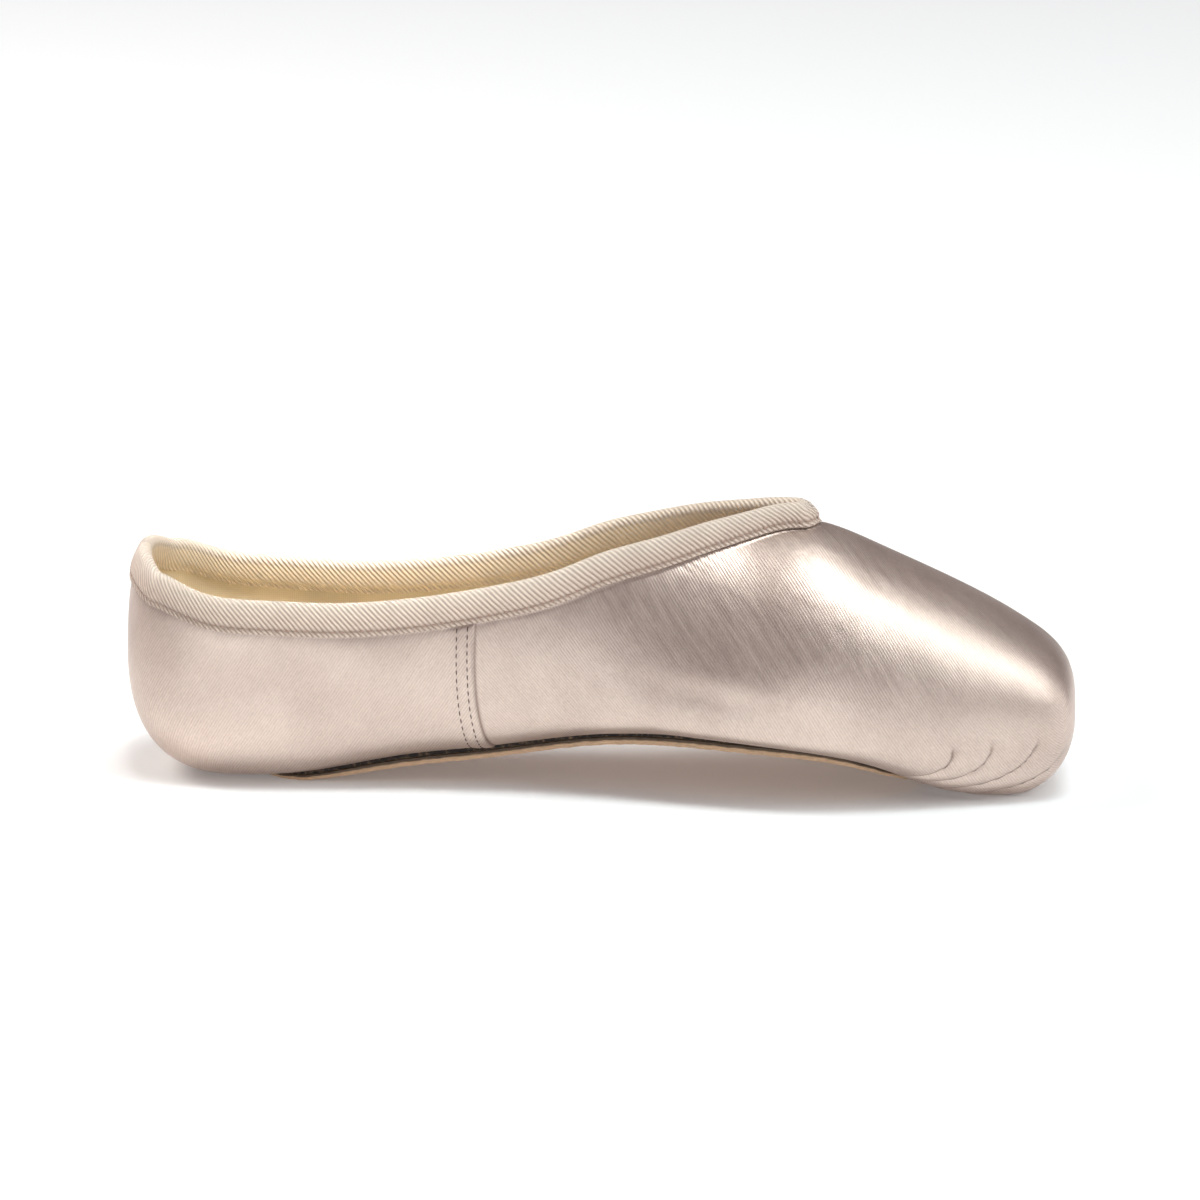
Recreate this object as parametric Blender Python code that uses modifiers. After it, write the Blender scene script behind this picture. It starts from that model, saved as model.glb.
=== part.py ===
# A pointe shoe, built as its maker puts it together: a turned satin upper on a
# straight last, a twill binding folded over the collar, a thin leather outsole
# let into the pleated bottom, and an insole inside. The shoe points along +X,
# stands on z = 0 and is the same on both sides, so each piece is modelled as
# its +Y half and mirrored. Sizes are in metres.

from collections import namedtuple

import bpy
import numpy as np

MM = 0.001

# Driving sizes of the last, measured over the satin
LENGTH = 240 * MM
HEEL_WIDTH = 54.4 * MM
WAIST_WIDTH = 49.6 * MM
BALL_WIDTH = 76 * MM
PLATFORM_WIDTH = 47 * MM
THROAT_HEIGHT = 65.4 * MM
PLATFORM_HEIGHT = 32.5 * MM
HEEL_POINT_HEIGHT = 33 * MM
ARCH_RISE = 11.5 * MM

# How the two ends of the last are rounded
HEEL_ROUND = 28 * MM
HEEL_ROUND_POWER = 2.6
TOE_ROUND = 14 * MM
TOE_ROUND_POWER = 4.2
TOE_UNDER_ROUND = 15 * MM
TOE_UNDER_POWER = 2.0

# Collar, lip and binding
COLLAR_REAR = 3.2 * MM
THROAT_TIP = 175 * MM
COLLAR_LOW = 40.5 * MM
LIP = 6.7 * MM
TAPE = 0.75 * MM

# Walls, sole, insole and clearances
QUARTER_WALL = 1.2 * MM
BOX_WALL = 3.0 * MM
BOTTOM_WALL = 2.6 * MM
SEAM_LAP = 0.6 * MM
SEAM_FOOT = 0.35 * MM
PLEAT = 0.8 * MM
PLEAT_LOW = 0.5 * MM
PLEAT_RISE = 2.4 * MM
PLEAT_HIGH = 13 * MM
PLEAT_FADE = 8 * MM
OUTSOLE = 2.0 * MM
OUTSOLE_SKIVED = 1.1 * MM
OUTSOLE_REAR = 33 * MM
OUTSOLE_FRONT = 204 * MM
OUTSOLE_HEEL_WIDTH = 29 * MM
OUTSOLE_BALL_WIDTH = 43 * MM
LASTING_MARGIN = 6 * MM
INSOLE = 1.8 * MM
INSOLE_REAR = 11 * MM
INSOLE_FRONT = 219 * MM
INSOLE_INSET = 7.5 * MM
INSOLE_CLEARANCE = 0.8 * MM
GAP = 0.3 * MM
STEP_SLANT = 0.1 * MM

# Side seam, where the heel quarter is lapped over the vamp
SEAM_AT_COLLAR = 88.5 * MM
SEAM_AT_SIDE = 89.5 * MM
SEAM_AT_SOLE = 94 * MM

# Mesh density of the half shoe
SEAM_LINE = 13
BALL_LINE = 24
LAST_LINE = 37
LINES_PER_PLEAT = 3
LIP_ROWS = 3
SIDE_ROWS = 15
TRACE_STEPS = 90
TURN_WEIGHT = 9 * MM
CAST_STEPS = 40
OUTLINE_STEPS = 1200
OUTSOLE_LINES = 36
INSOLE_LINES = 32
PLATE_RINGS = 4
MERGE = 0.02 * MM

# Rows of the side, as shares, over which the wall grows to full thickness
WALL_STARTS = 0.4
UNDER_STARTS = 0.6
UNDER_ENDS = 0.9
BED_ROWS = 3

# Cross-sections of the last. along is a share of the length, arch of the arch's
# rise, and stand is how much of the outsole shows below the satin. The powers
# are those of the superellipses below and above the widest level.
Section = namedtuple(
    "Section", "along half_width arch stand widest crown low_power high_power"
)
SECTIONS = (
    Section(0.000, 0.490 * HEEL_WIDTH, 0.00, 0.12, HEEL_POINT_HEIGHT, 1.130 * THROAT_HEIGHT, 2.6, 2.2),
    Section(0.060, 0.497 * HEEL_WIDTH, -0.01, 0.14, 0.97 * HEEL_POINT_HEIGHT, 1.090 * THROAT_HEIGHT, 2.8, 2.2),
    Section(0.120, 0.500 * HEEL_WIDTH, -0.05, 0.24, 0.88 * HEEL_POINT_HEIGHT, 1.050 * THROAT_HEIGHT, 3.0, 2.2),
    Section(0.200, 0.492 * HEEL_WIDTH, 0.03, 0.50, 0.78 * HEEL_POINT_HEIGHT, 1.020 * THROAT_HEIGHT, 3.0, 2.1),
    Section(0.290, 0.512 * WAIST_WIDTH, 0.33, 0.85, 0.72 * HEEL_POINT_HEIGHT, 1.048 * THROAT_HEIGHT, 2.8, 1.9),
    Section(0.390, 0.500 * WAIST_WIDTH, 0.58, 1.00, 0.67 * HEEL_POINT_HEIGHT, 1.120 * THROAT_HEIGHT, 2.7, 1.70),
    Section(0.500, 0.550 * WAIST_WIDTH, 0.93, 1.25, 0.66 * HEEL_POINT_HEIGHT, 1.128 * THROAT_HEIGHT, 2.7, 1.58),
    Section(0.585, 0.424 * BALL_WIDTH, 1.00, 1.35, 0.66 * HEEL_POINT_HEIGHT, 1.062 * THROAT_HEIGHT, 2.8, 1.55),
    Section(0.660, 0.488 * BALL_WIDTH, 0.93, 1.40, 0.64 * HEEL_POINT_HEIGHT, 1.018 * THROAT_HEIGHT, 2.9, 1.65),
    Section(0.729, 0.500 * BALL_WIDTH, 0.81, 1.15, 0.61 * HEEL_POINT_HEIGHT, 1.003 * THROAT_HEIGHT, 3.0, 1.9),
    Section(0.790, 0.478 * BALL_WIDTH, 0.54, 0.70, 0.58 * HEEL_POINT_HEIGHT, 0.917 * THROAT_HEIGHT, 3.0, 2.05),
    Section(0.850, 0.434 * BALL_WIDTH, 0.12, 0.12, 0.56 * HEEL_POINT_HEIGHT, 0.815 * THROAT_HEIGHT, 3.0, 2.2),
    Section(0.910, 0.608 * PLATFORM_WIDTH, -0.11, 0.00, 0.56 * HEEL_POINT_HEIGHT, 0.708 * THROAT_HEIGHT, 3.0, 2.3),
    Section(0.960, 0.523 * PLATFORM_WIDTH, -0.11, 0.00, 0.56 * HEEL_POINT_HEIGHT, 1.200 * PLATFORM_HEIGHT, 2.8, 2.4),
    Section(1.000, 0.450 * PLATFORM_WIDTH, -0.08, 0.00, 0.56 * HEEL_POINT_HEIGHT, 1.000 * PLATFORM_HEIGHT, 2.6, 2.4),
)

# The collar's lower line, which the binding's edge follows. along runs from the
# rear of the collar to the throat's tip; lean is how far the lip leans in for
# each unit that it rises, and rise is its height as a share of LIP.
Collar = namedtuple("Collar", "along half_width height lean rise")
COLLAR = (
    Collar(0.000, 0.000 * HEEL_WIDTH, 1.205 * COLLAR_LOW, 0.40, 1.00),
    Collar(0.008, 0.200 * HEEL_WIDTH, 1.185 * COLLAR_LOW, 0.36, 1.00),
    Collar(0.035, 0.365 * HEEL_WIDTH, 1.135 * COLLAR_LOW, 0.25, 1.00),
    Collar(0.090, 0.455 * HEEL_WIDTH, 1.070 * COLLAR_LOW, 0.20, 1.00),
    Collar(0.180, 0.480 * HEEL_WIDTH, 1.012 * COLLAR_LOW, 0.18, 1.00),
    Collar(0.280, 0.468 * HEEL_WIDTH, 1.000 * COLLAR_LOW, 0.18, 1.00),
    Collar(0.390, 0.443 * HEEL_WIDTH, 1.032 * COLLAR_LOW, 0.15, 1.00),
    Collar(0.530, 0.453 * WAIST_WIDTH, 1.143 * COLLAR_LOW, 0.12, 1.00),
    Collar(0.600, 0.430 * WAIST_WIDTH, 1.213 * COLLAR_LOW, 0.13, 1.00),
    Collar(0.680, 0.373 * WAIST_WIDTH, 1.278 * COLLAR_LOW, 0.17, 1.00),
    Collar(0.790, 0.320 * WAIST_WIDTH, 1.398 * COLLAR_LOW, 0.24, 0.94),
    Collar(0.865, 0.242 * WAIST_WIDTH, 0.929 * THROAT_HEIGHT, 0.38, 0.86),
    Collar(0.925, 0.165 * WAIST_WIDTH, 0.953 * THROAT_HEIGHT, 0.50, 0.80),
    Collar(0.970, 0.115 * WAIST_WIDTH, 0.990 * THROAT_HEIGHT, 0.60, 0.80),
    Collar(0.992, 0.065 * WAIST_WIDTH, 0.998 * THROAT_HEIGHT, 0.70, 0.80),
    Collar(1.000, 0.000 * WAIST_WIDTH, 1.000 * THROAT_HEIGHT, 0.75, 0.80),
)

# Half-widths of the outsole before its two ends are rounded
SoleWidth = namedtuple("SoleWidth", "along half_width")
OUTSOLE_SHAPE = (
    SoleWidth(0.00, 0.500 * OUTSOLE_HEEL_WIDTH),
    SoleWidth(0.15, 0.500 * OUTSOLE_HEEL_WIDTH),
    SoleWidth(0.40, 0.450 * OUTSOLE_HEEL_WIDTH),
    SoleWidth(0.58, 0.385 * OUTSOLE_BALL_WIDTH),
    SoleWidth(0.78, 0.500 * OUTSOLE_BALL_WIDTH),
    SoleWidth(0.90, 0.480 * OUTSOLE_BALL_WIDTH),
    SoleWidth(1.00, 0.420 * OUTSOLE_BALL_WIDTH),
)
OUTSOLE_END_ROUND = 17 * MM
OUTSOLE_END_POWER = 2.2
INSOLE_END_ROUND = 24 * MM

SATIN = ((0.80, 0.68, 0.62), 0.32)
TWILL = ((0.86, 0.76, 0.66), 0.80)
LEATHER = ((0.62, 0.42, 0.26), 0.60)
SOCK = ((0.87, 0.80, 0.66), 0.85)


# Smooth curves through the tables


def spline(knots, values):
    """A natural cubic spline through the knots, as a function of an array."""
    x = np.asarray(knots, float)
    y = np.asarray(values, float)
    h = np.diff(x)
    slope = np.diff(y) / h
    matrix = np.eye(len(x))
    right = np.zeros(len(x))
    for k in range(1, len(x) - 1):
        matrix[k, k - 1 : k + 2] = (h[k - 1], 2 * (h[k - 1] + h[k]), h[k])
        right[k] = 6 * (slope[k] - slope[k - 1])
    bend = np.linalg.solve(matrix, right)

    def at(where):
        where = np.clip(np.asarray(where, float), x[0], x[-1])
        k = np.clip(np.searchsorted(x, where, side="right") - 1, 0, len(h) - 1)
        a = (x[k + 1] - where) / h[k]
        b = 1 - a
        curve = (a**3 - a) * bend[k] + (b**3 - b) * bend[k + 1]
        return a * y[k] + b * y[k + 1] + curve * h[k] ** 2 / 6

    return at


def columns(table, length, start=0.0):
    """Each column of a table as a spline of the distance from start."""
    knots = [start + row.along * length for row in table]
    names = [name for name in table[0]._fields if name != "along"]
    return {name: spline(knots, [getattr(r, name) for r in table]) for name in names}


def end_round(distance, reach, power):
    """1 away from an end, falling to 0 at the end as a superellipse does."""
    share = np.clip(1 - distance / reach, 0, 1)
    return (1 - share**power) ** (1 / power)


LAST = columns(SECTIONS, LENGTH)
RIM = columns(COLLAR, THROAT_TIP - COLLAR_REAR, COLLAR_REAR)
SOLE_SHAPE = columns(OUTSOLE_SHAPE, OUTSOLE_FRONT - OUTSOLE_REAR, OUTSOLE_REAR)


# The last


def ends(x):
    return end_round(x, HEEL_ROUND, HEEL_ROUND_POWER) * end_round(
        LENGTH - x, TOE_ROUND, TOE_ROUND_POWER
    )


def ends_under(x):
    """As ends, with the toe's underside rounded up more than its top."""
    return end_round(x, HEEL_ROUND, HEEL_ROUND_POWER) * end_round(
        LENGTH - x, TOE_UNDER_ROUND, TOE_UNDER_POWER
    )


def ground(x):
    """Height of the outsole's underside, or of the satin where it has none."""
    return ARCH_RISE * LAST["arch"](x)


def bottom(x):
    return ground(x) + (OUTSOLE + GAP) * LAST["stand"](x)


def side_half_width(x):
    return np.maximum(LAST["half_width"](x) * ends(x), 1e-9)


def last_measure(points):
    """Under 1 inside the last, and 1 on its surface."""
    x, y, z = points.T
    widest = LAST["widest"](x)
    up = np.maximum((LAST["crown"](x) - widest) * ends(x), 1e-9)
    down = np.maximum((widest - bottom(x)) * ends_under(x), 1e-9)
    above = z > widest
    power = np.where(above, LAST["high_power"](x), LAST["low_power"](x))
    rise = np.abs(z - widest) / np.where(above, up, down)
    across = np.abs(y) / side_half_width(x)
    outside = (x <= 0) | (x >= LENGTH)
    return np.where(outside, 2.0, np.minimum(rise, 9) ** power + np.minimum(across, 9) ** power)


def bottom_height(x, y):
    """Height of the last's underside at a place inside its outline."""
    power = LAST["low_power"](x)
    across = np.clip(np.abs(y) / side_half_width(x), 0, 1)
    depth = (LAST["widest"](x) - bottom(x)) * ends_under(x)
    return LAST["widest"](x) - depth * (1 - across**power) ** (1 / power)


def cast(origins, targets):
    """Points where rays from inside the last, towards the targets, leave it."""
    ways = targets - origins
    ways = ways / np.linalg.norm(ways, axis=1)[:, None]
    near = np.zeros(len(origins))
    far = np.full(len(origins), LENGTH)
    for _ in range(CAST_STEPS):
        middle = (near + far) / 2
        inside = last_measure(origins + ways * middle[:, None]) < 1
        near = np.where(inside, middle, near)
        far = np.where(inside, far, middle)
    return origins + ways * near[:, None]


# Outlines seen from above, from the rear to the front of the half shoe


class Outline:
    """A half outline that can be read by its x or by its share of the length."""

    def __init__(self, half_width, rear, front):
        turn = np.linspace(0, np.pi, OUTLINE_STEPS + 1)
        self.x = rear + (front - rear) * (1 - np.cos(turn)) / 2
        self.y = half_width(self.x)
        self.y[0] = self.y[-1] = 0
        steps = np.hypot(np.diff(self.x), np.diff(self.y))
        self.share = np.concatenate([[0], np.cumsum(steps)]) / steps.sum()

    def share_at(self, x):
        return np.interp(x, self.x, self.share)

    def at(self, share):
        return np.interp(share, self.share, self.x), np.interp(share, self.share, self.y)


def outsole_half_width(x):
    rear = end_round(x - OUTSOLE_REAR, OUTSOLE_END_ROUND, OUTSOLE_END_POWER)
    front = end_round(OUTSOLE_FRONT - x, OUTSOLE_END_ROUND, OUTSOLE_END_POWER)
    return SOLE_SHAPE["half_width"](x) * rear * front


def insole_half_width(x):
    rear = end_round(x - INSOLE_REAR, INSOLE_END_ROUND, OUTSOLE_END_POWER)
    front = end_round(INSOLE_FRONT - x, INSOLE_END_ROUND, OUTSOLE_END_POWER)
    return (LAST["half_width"](x) - INSOLE_INSET) * rear * front


SIDE = Outline(side_half_width, 0, LENGTH)
RIM_LINE = Outline(lambda x: np.maximum(RIM["half_width"](x), 0), COLLAR_REAR, THROAT_TIP)
SOLE_LINE = Outline(outsole_half_width, OUTSOLE_REAR, OUTSOLE_FRONT)
INSOLE_LINE = Outline(insole_half_width, INSOLE_REAR, INSOLE_FRONT)


# The upper's lines run from the collar over the side to the sole, one after
# another from the middle of the heel to the middle of the toe.

BALL_AT_COLLAR = 0.80 * THROAT_TIP
BALL_AT_SIDE = 0.79 * LENGTH
BALL_AT_SOLE = 0.86 * OUTSOLE_FRONT


def line_shares():
    """Where each line crosses the rim, the side outline and the outsole's edge."""
    seam_foot = SEAM_LINE + 1
    numbers = (0, SEAM_LINE, seam_foot, BALL_LINE, LAST_LINE)
    knots = (
        (RIM_LINE, SEAM_AT_COLLAR, BALL_AT_COLLAR),
        (SIDE, SEAM_AT_SIDE, BALL_AT_SIDE),
        (SOLE_LINE, SEAM_AT_SOLE, BALL_AT_SOLE),
    )
    lines = np.arange(LAST_LINE + 1)
    shares = []
    for outline, seam, ball in knots:
        places = (
            0,
            outline.share_at(seam),
            outline.share_at(seam + SEAM_FOOT),
            outline.share_at(ball),
            1,
        )
        shares.append(np.interp(lines, numbers, places))
    return shares


def trace_lines():
    """Rows of points along each line, on the last, from the rim to the sole's edge."""
    rim_share, side_share, sole_share = line_shares()
    rim_x, rim_y = RIM_LINE.at(rim_share)
    side_x, side_y = SIDE.at(side_share)
    sole_x, sole_y = SOLE_LINE.at(sole_share)
    rim = np.column_stack([rim_x, rim_y, RIM["height"](rim_x)])
    side = np.column_stack([side_x, side_y, LAST["widest"](side_x)])
    edge = np.column_stack([sole_x, sole_y, bottom_height(sole_x, sole_y)])
    edge += plan_outward(edge) * GAP
    centre_x = np.clip(side_x, HEEL_ROUND, OUTSOLE_FRONT)
    centre = np.column_stack([centre_x, 0 * centre_x, LAST["widest"](centre_x)])
    steps = np.linspace(0, 1, TRACE_STEPS)
    paths = []
    for k in range(len(rim)):
        t = steps[:, None]
        start = (1 - t) * (1 - 2 * t)
        middle = 4 * t * (1 - t)
        end = t * (2 * t - 1)
        targets = start * rim[k] + middle * side[k] + end * edge[k]
        path = cast(np.repeat(centre[k : k + 1], TRACE_STEPS, axis=0), targets)
        paths.append(spread(path, SIDE_ROWS))
    lines = np.array(paths)
    lines[0, :, 1] = lines[-1, :, 1] = 0
    return lines


def spread(path, rows):
    """Points spread along a path, closer together where it turns."""
    steps = np.diff(path, axis=0)
    lengths = np.linalg.norm(steps, axis=1)
    ways = steps / np.maximum(lengths, 1e-9)[:, None]
    turns = np.arccos(np.clip((ways[1:] * ways[:-1]).sum(axis=1), -1, 1))
    turns = np.concatenate([turns[:1], turns])
    place = np.concatenate([[0], np.cumsum(lengths + TURN_WEIGHT * turns)])
    wanted = np.linspace(0, place[-1], rows + 1)
    return np.column_stack([np.interp(wanted, place, axis) for axis in path.T])


def along_lines(grid):
    """The way from each line to the next, mirrored past the middle of the shoe."""
    flip = np.array([1, -1, 1])
    before = np.concatenate([grid[1:2] * flip, grid[:-1]])
    after = np.concatenate([grid[1:], grid[-2:-1] * flip])
    return after - before


def plan_outward(points):
    """Level unit vectors that point out of an outline run from rear to front."""
    way = along_lines(points)
    outward = np.column_stack([-way[:, 1], way[:, 0], 0 * way[:, 0]])
    return outward / np.linalg.norm(outward, axis=1)[:, None]


def outward_normals(grid):
    """Unit normals of a grid of lines and rows, out of the shoe."""
    down = np.gradient(grid, axis=1)
    normals = np.cross(along_lines(grid), down)
    normals /= np.linalg.norm(normals, axis=2)[:, :, None]
    normals[0, :, 1] = normals[-1, :, 1] = 0
    return normals / np.linalg.norm(normals, axis=2)[:, :, None]


def lip_points(rim):
    """Rows from the collar's raw edge down to just above the rim line."""
    lean = RIM["lean"](rim[:, 0])
    way = np.array([0, 0, 1]) - plan_outward(rim) * lean[:, None]
    way /= np.linalg.norm(way, axis=1)[:, None]
    shares = np.linspace(1, 0, LIP_ROWS, endpoint=False)
    rises = LIP * RIM["rise"](rim[:, 0])[:, None] * shares
    rows = rim[:, None, :] + way[:, None, :] * rises[:, :, None]
    rows[0, :, 1] = rows[-1, :, 1] = 0
    return rows


def outsole_thickness(x):
    """Full in the middle, and skived thin towards both ends."""
    nearest = np.minimum(x - OUTSOLE_REAR, OUTSOLE_FRONT - x)
    share = np.clip(nearest / (2 * OUTSOLE_END_ROUND), 0, 1)
    return OUTSOLE_SKIVED + (OUTSOLE - OUTSOLE_SKIVED) * share**2 * (3 - 2 * share)


def bed_points(edge):
    """The lasting margin that lies on the outsole, from its edge inwards."""
    inward = -plan_outward(edge)
    foot = edge + inward * STEP_SLANT
    end = edge + inward * (LASTING_MARGIN + GAP)
    end[:, 1] = np.maximum(end[:, 1], 0)
    shares = np.linspace(0, 1, BED_ROWS)[:, None]
    rows = foot[:, None] * (1 - shares) + end[:, None] * shares
    x = rows[:, :, 0]
    floor = np.maximum(ground(x), 0)
    rows[:, :, 2] = floor + outsole_thickness(x) + GAP
    rows[0, :, 1] = rows[-1, :, 1] = 0
    return rows


def wall_thickness(grid):
    """Thin at the collar and quarters, thick in the stiffened box and bottom."""
    box = np.clip((grid[:, :, 0] - THROAT_TIP) / (LENGTH - THROAT_TIP), 0, 1)
    share = (np.arange(grid.shape[1]) - LIP_ROWS) / SIDE_ROWS
    start = np.clip(share / WALL_STARTS, 0, 1)
    under = np.clip((share - UNDER_STARTS) / (UNDER_ENDS - UNDER_STARTS), 0, 1)
    thickness = QUARTER_WALL + (BOX_WALL - QUARTER_WALL) * box * start
    return thickness + (BOTTOM_WALL - thickness) * under


def lap_height(lines, rows):
    """The heel quarter's raised edge, which fades away behind the seam."""
    behind = SEAM_LINE - np.arange(lines)
    height = SEAM_LAP * np.clip(1 - (behind - 1) / 2, 0, 1)
    height = np.where(behind < 0, 0, height)
    below_rim = np.clip(np.arange(rows) - LIP_ROWS, 0, 1)
    return height[:, None] * below_rim[None, :]


def pleat_depth(grid):
    """Folds of satin gathered under the toe, pressed flat where it rests."""
    lines = np.arange(len(grid)) - BALL_LINE
    fold = np.where(lines > 0, lines % LINES_PER_PLEAT / (LINES_PER_PLEAT - 1), 0)
    fold[-1] = 0
    z = grid[:, :, 2]
    rise = np.clip((z - PLEAT_LOW) / PLEAT_RISE, 0, 1)
    fade = np.clip((PLEAT_HIGH - z) / PLEAT_FADE, 0, 1)
    return PLEAT * fold[:, None] * rise * fade


def upper_grids():
    """The upper's outer and inner faces as grids of lines and rows."""
    side = trace_lines()
    lip = lip_points(side[:, 0])
    bed = bed_points(side[:, -1])
    plain_bed = bed.copy()
    plain_bed[:, :, 2] = bottom_height(bed[:, :, 0], bed[:, :, 1])
    plain = np.concatenate([lip, side, plain_bed], axis=1)
    normals = outward_normals(plain)
    inner = plain - normals * wall_thickness(plain)[:, :, None]
    inner[:, -BED_ROWS:] = plain_bed + np.array([0, 0, BOTTOM_WALL])
    relief = lap_height(*plain.shape[:2]) - pleat_depth(plain)
    outer = plain + normals * relief[:, :, None]
    outer[:, -BED_ROWS:] = bed
    outer[:, :, 2] = np.maximum(outer[:, :, 2], 0)
    return outer, inner, plain, normals


# Meshes


def new_object(name, points, faces, finish):
    """One piece, mirrored from its +Y half, with its own material."""
    colour, roughness = finish
    mesh = bpy.data.meshes.new(name)
    mesh.from_pydata([tuple(p) for p in points], [], faces)
    mesh.validate()
    material = bpy.data.materials.new(name + "_finish")
    material.use_nodes = True
    shader = material.node_tree.nodes["Principled BSDF"]
    shader.inputs["Base Color"].default_value = (*colour, 1)
    shader.inputs["Roughness"].default_value = roughness
    mesh.materials.append(material)
    obj = bpy.data.objects.new(name, mesh)
    SHOE.objects.link(obj)
    mesh.shade_smooth()
    mirror = obj.modifiers.new("other_side", "MIRROR")
    mirror.use_axis = (False, True, False)
    mirror.merge_threshold = MERGE
    weld = obj.modifiers.new("weld", "WELD")
    weld.merge_threshold = MERGE
    obj.location.x = -LENGTH / 2
    return obj


def strip_faces(first, second, columns_count):
    """Quads between row first and row second of a grid stored line by line."""
    return [
        (first[k], first[k + 1], second[k + 1], second[k])
        for k in range(columns_count - 1)
    ]


def sweep_mesh(name, rings, finish):
    """A closed band from section rings, one for each line of the half shoe."""
    lines, around, _ = rings.shape
    faces = []
    for j in range(around):
        after = (j + 1) % around
        first = [k * around + j for k in range(lines)]
        second = [k * around + after for k in range(lines)]
        faces += strip_faces(first, second, lines)
    return new_object(name, rings.reshape(-1, 3), faces, finish)


def make_upper(outer, inner):
    rings = np.concatenate([outer, inner[:, ::-1]], axis=1)
    return sweep_mesh("upper", rings, SATIN)


def make_binding(plain, normals):
    """Twill tape folded over the collar, with a rounded ridge."""
    rows = range(LIP_ROWS + 1)
    way = plain[:, 0] - plain[:, LIP_ROWS]
    way /= np.linalg.norm(way, axis=1)[:, None]
    near = QUARTER_WALL / 2 + GAP
    far = near + TAPE

    def place(row, out, rise=0.0):
        return plain[:, row] + normals[:, row] * (out - QUARTER_WALL / 2) + way * rise

    def fold(reach, turns):
        return [place(0, reach * np.cos(a), reach * np.sin(a)) for a in turns]

    over = np.radians(np.arange(0, 181, 45))
    ring = [place(row, far) for row in rows][:0:-1] + fold(far, over)
    ring += [place(row, -far) for row in rows][1:]
    ring += [place(row, -near) for row in rows][:0:-1] + fold(near, over[::-1])
    ring += [place(row, near) for row in rows][1:]
    rings = np.stack(ring[::-1], axis=1)
    rings[0, :, 1] = rings[-1, :, 1] = 0
    return sweep_mesh("binding", rings, TWILL)


def plate(name, outline, spine, lines, top, low, finish):
    """A curved plate with an even grid between its outline and its middle line."""
    x, y = outline.at(np.linspace(0, 1, lines))
    middle_x = np.clip(x, *spine)
    shares = np.linspace(0, 1, PLATE_RINGS)
    grid_x = middle_x[:, None] + (x - middle_x)[:, None] * shares
    grid_y = y[:, None] * shares
    tops = np.stack([grid_x, grid_y, top(grid_x, grid_y)], axis=2)
    lows = np.stack([grid_x, grid_y, low(grid_x, grid_y)], axis=2)
    section = np.concatenate([tops, lows[:, ::-1]], axis=1)
    count = section.shape[1]
    faces = []
    for j in range(count - 1):
        first = [k * count + j for k in range(lines)]
        second = [k * count + j + 1 for k in range(lines)]
        faces += strip_faces(first, second, lines)
    return new_object(name, section.reshape(-1, 3), faces, finish)


def make_outsole():
    def low(x, y):
        return np.maximum(ground(x), 0)

    def top(x, y):
        return low(x, y) + outsole_thickness(x)

    spine = (OUTSOLE_REAR + OUTSOLE_END_ROUND, OUTSOLE_FRONT - OUTSOLE_END_ROUND)
    return plate("outsole", SOLE_LINE, spine, OUTSOLE_LINES, top, low, LEATHER)


def make_insole():
    def low(x, y):
        return bottom_height(x, y) + BOTTOM_WALL + INSOLE_CLEARANCE

    def top(x, y):
        return low(x, y) + INSOLE

    spine = (INSOLE_REAR + INSOLE_END_ROUND, INSOLE_FRONT - INSOLE_END_ROUND)
    return plate("insole", INSOLE_LINE, spine, INSOLE_LINES, top, low, SOCK)


for existing in list(bpy.data.objects):
    bpy.data.objects.remove(existing)
SHOE = bpy.data.collections.new("pointe_shoe")
bpy.context.scene.collection.children.link(SHOE)

outer_grid, inner_grid, plain_grid, plain_normals = upper_grids()
make_upper(outer_grid, inner_grid)
make_binding(plain_grid, plain_normals)
make_outsole()
make_insole()
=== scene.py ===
"""The looks of a pointe shoe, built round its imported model.

The satin upper, the twill binding, the stitches, the leather outsole and the
sock are each made by one operator from the last's sizes, which the sidebar
shows. The shoe points along +X, stands on z = 0 and its sizes are in metres.
"""

from collections import namedtuple

import bpy
import numpy as np
from bpy.props import FloatProperty, FloatVectorProperty, PointerProperty
from mathutils import Matrix, Vector


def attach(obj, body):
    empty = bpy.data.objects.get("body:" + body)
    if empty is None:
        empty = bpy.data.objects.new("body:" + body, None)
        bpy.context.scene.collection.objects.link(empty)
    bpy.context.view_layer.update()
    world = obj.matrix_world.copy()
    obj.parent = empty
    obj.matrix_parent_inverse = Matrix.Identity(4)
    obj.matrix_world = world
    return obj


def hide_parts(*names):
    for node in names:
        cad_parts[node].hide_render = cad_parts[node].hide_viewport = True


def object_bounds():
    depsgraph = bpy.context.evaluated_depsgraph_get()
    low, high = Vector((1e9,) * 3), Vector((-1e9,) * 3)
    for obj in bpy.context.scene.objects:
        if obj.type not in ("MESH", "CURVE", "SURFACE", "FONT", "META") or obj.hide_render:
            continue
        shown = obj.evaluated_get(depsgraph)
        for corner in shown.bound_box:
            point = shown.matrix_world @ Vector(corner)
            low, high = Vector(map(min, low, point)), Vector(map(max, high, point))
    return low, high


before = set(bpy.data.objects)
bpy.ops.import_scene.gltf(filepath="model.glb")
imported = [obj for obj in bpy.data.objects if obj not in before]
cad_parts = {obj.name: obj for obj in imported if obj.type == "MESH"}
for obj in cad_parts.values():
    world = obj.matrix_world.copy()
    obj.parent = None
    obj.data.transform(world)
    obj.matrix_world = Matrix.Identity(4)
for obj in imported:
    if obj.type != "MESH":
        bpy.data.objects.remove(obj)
CAD_LOW, CAD_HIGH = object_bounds()

bl_info = {
    "name": "Pointe Shoe",
    "version": (1, 0, 0),
    "blender": (4, 5, 0),
    "location": "3D View > Sidebar > Pointe Shoe",
    "description": "Satin, binding, stitches and leather of a pointe shoe",
    "category": "Object",
}

MM = 0.001
BODY = "root"


# Sizes and colours that a user would change


def distance(name, default, description):
    return FloatProperty(
        name=name,
        description=description,
        default=default,
        precision=5,
        unit="LENGTH",
        subtype="DISTANCE",
    )


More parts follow.
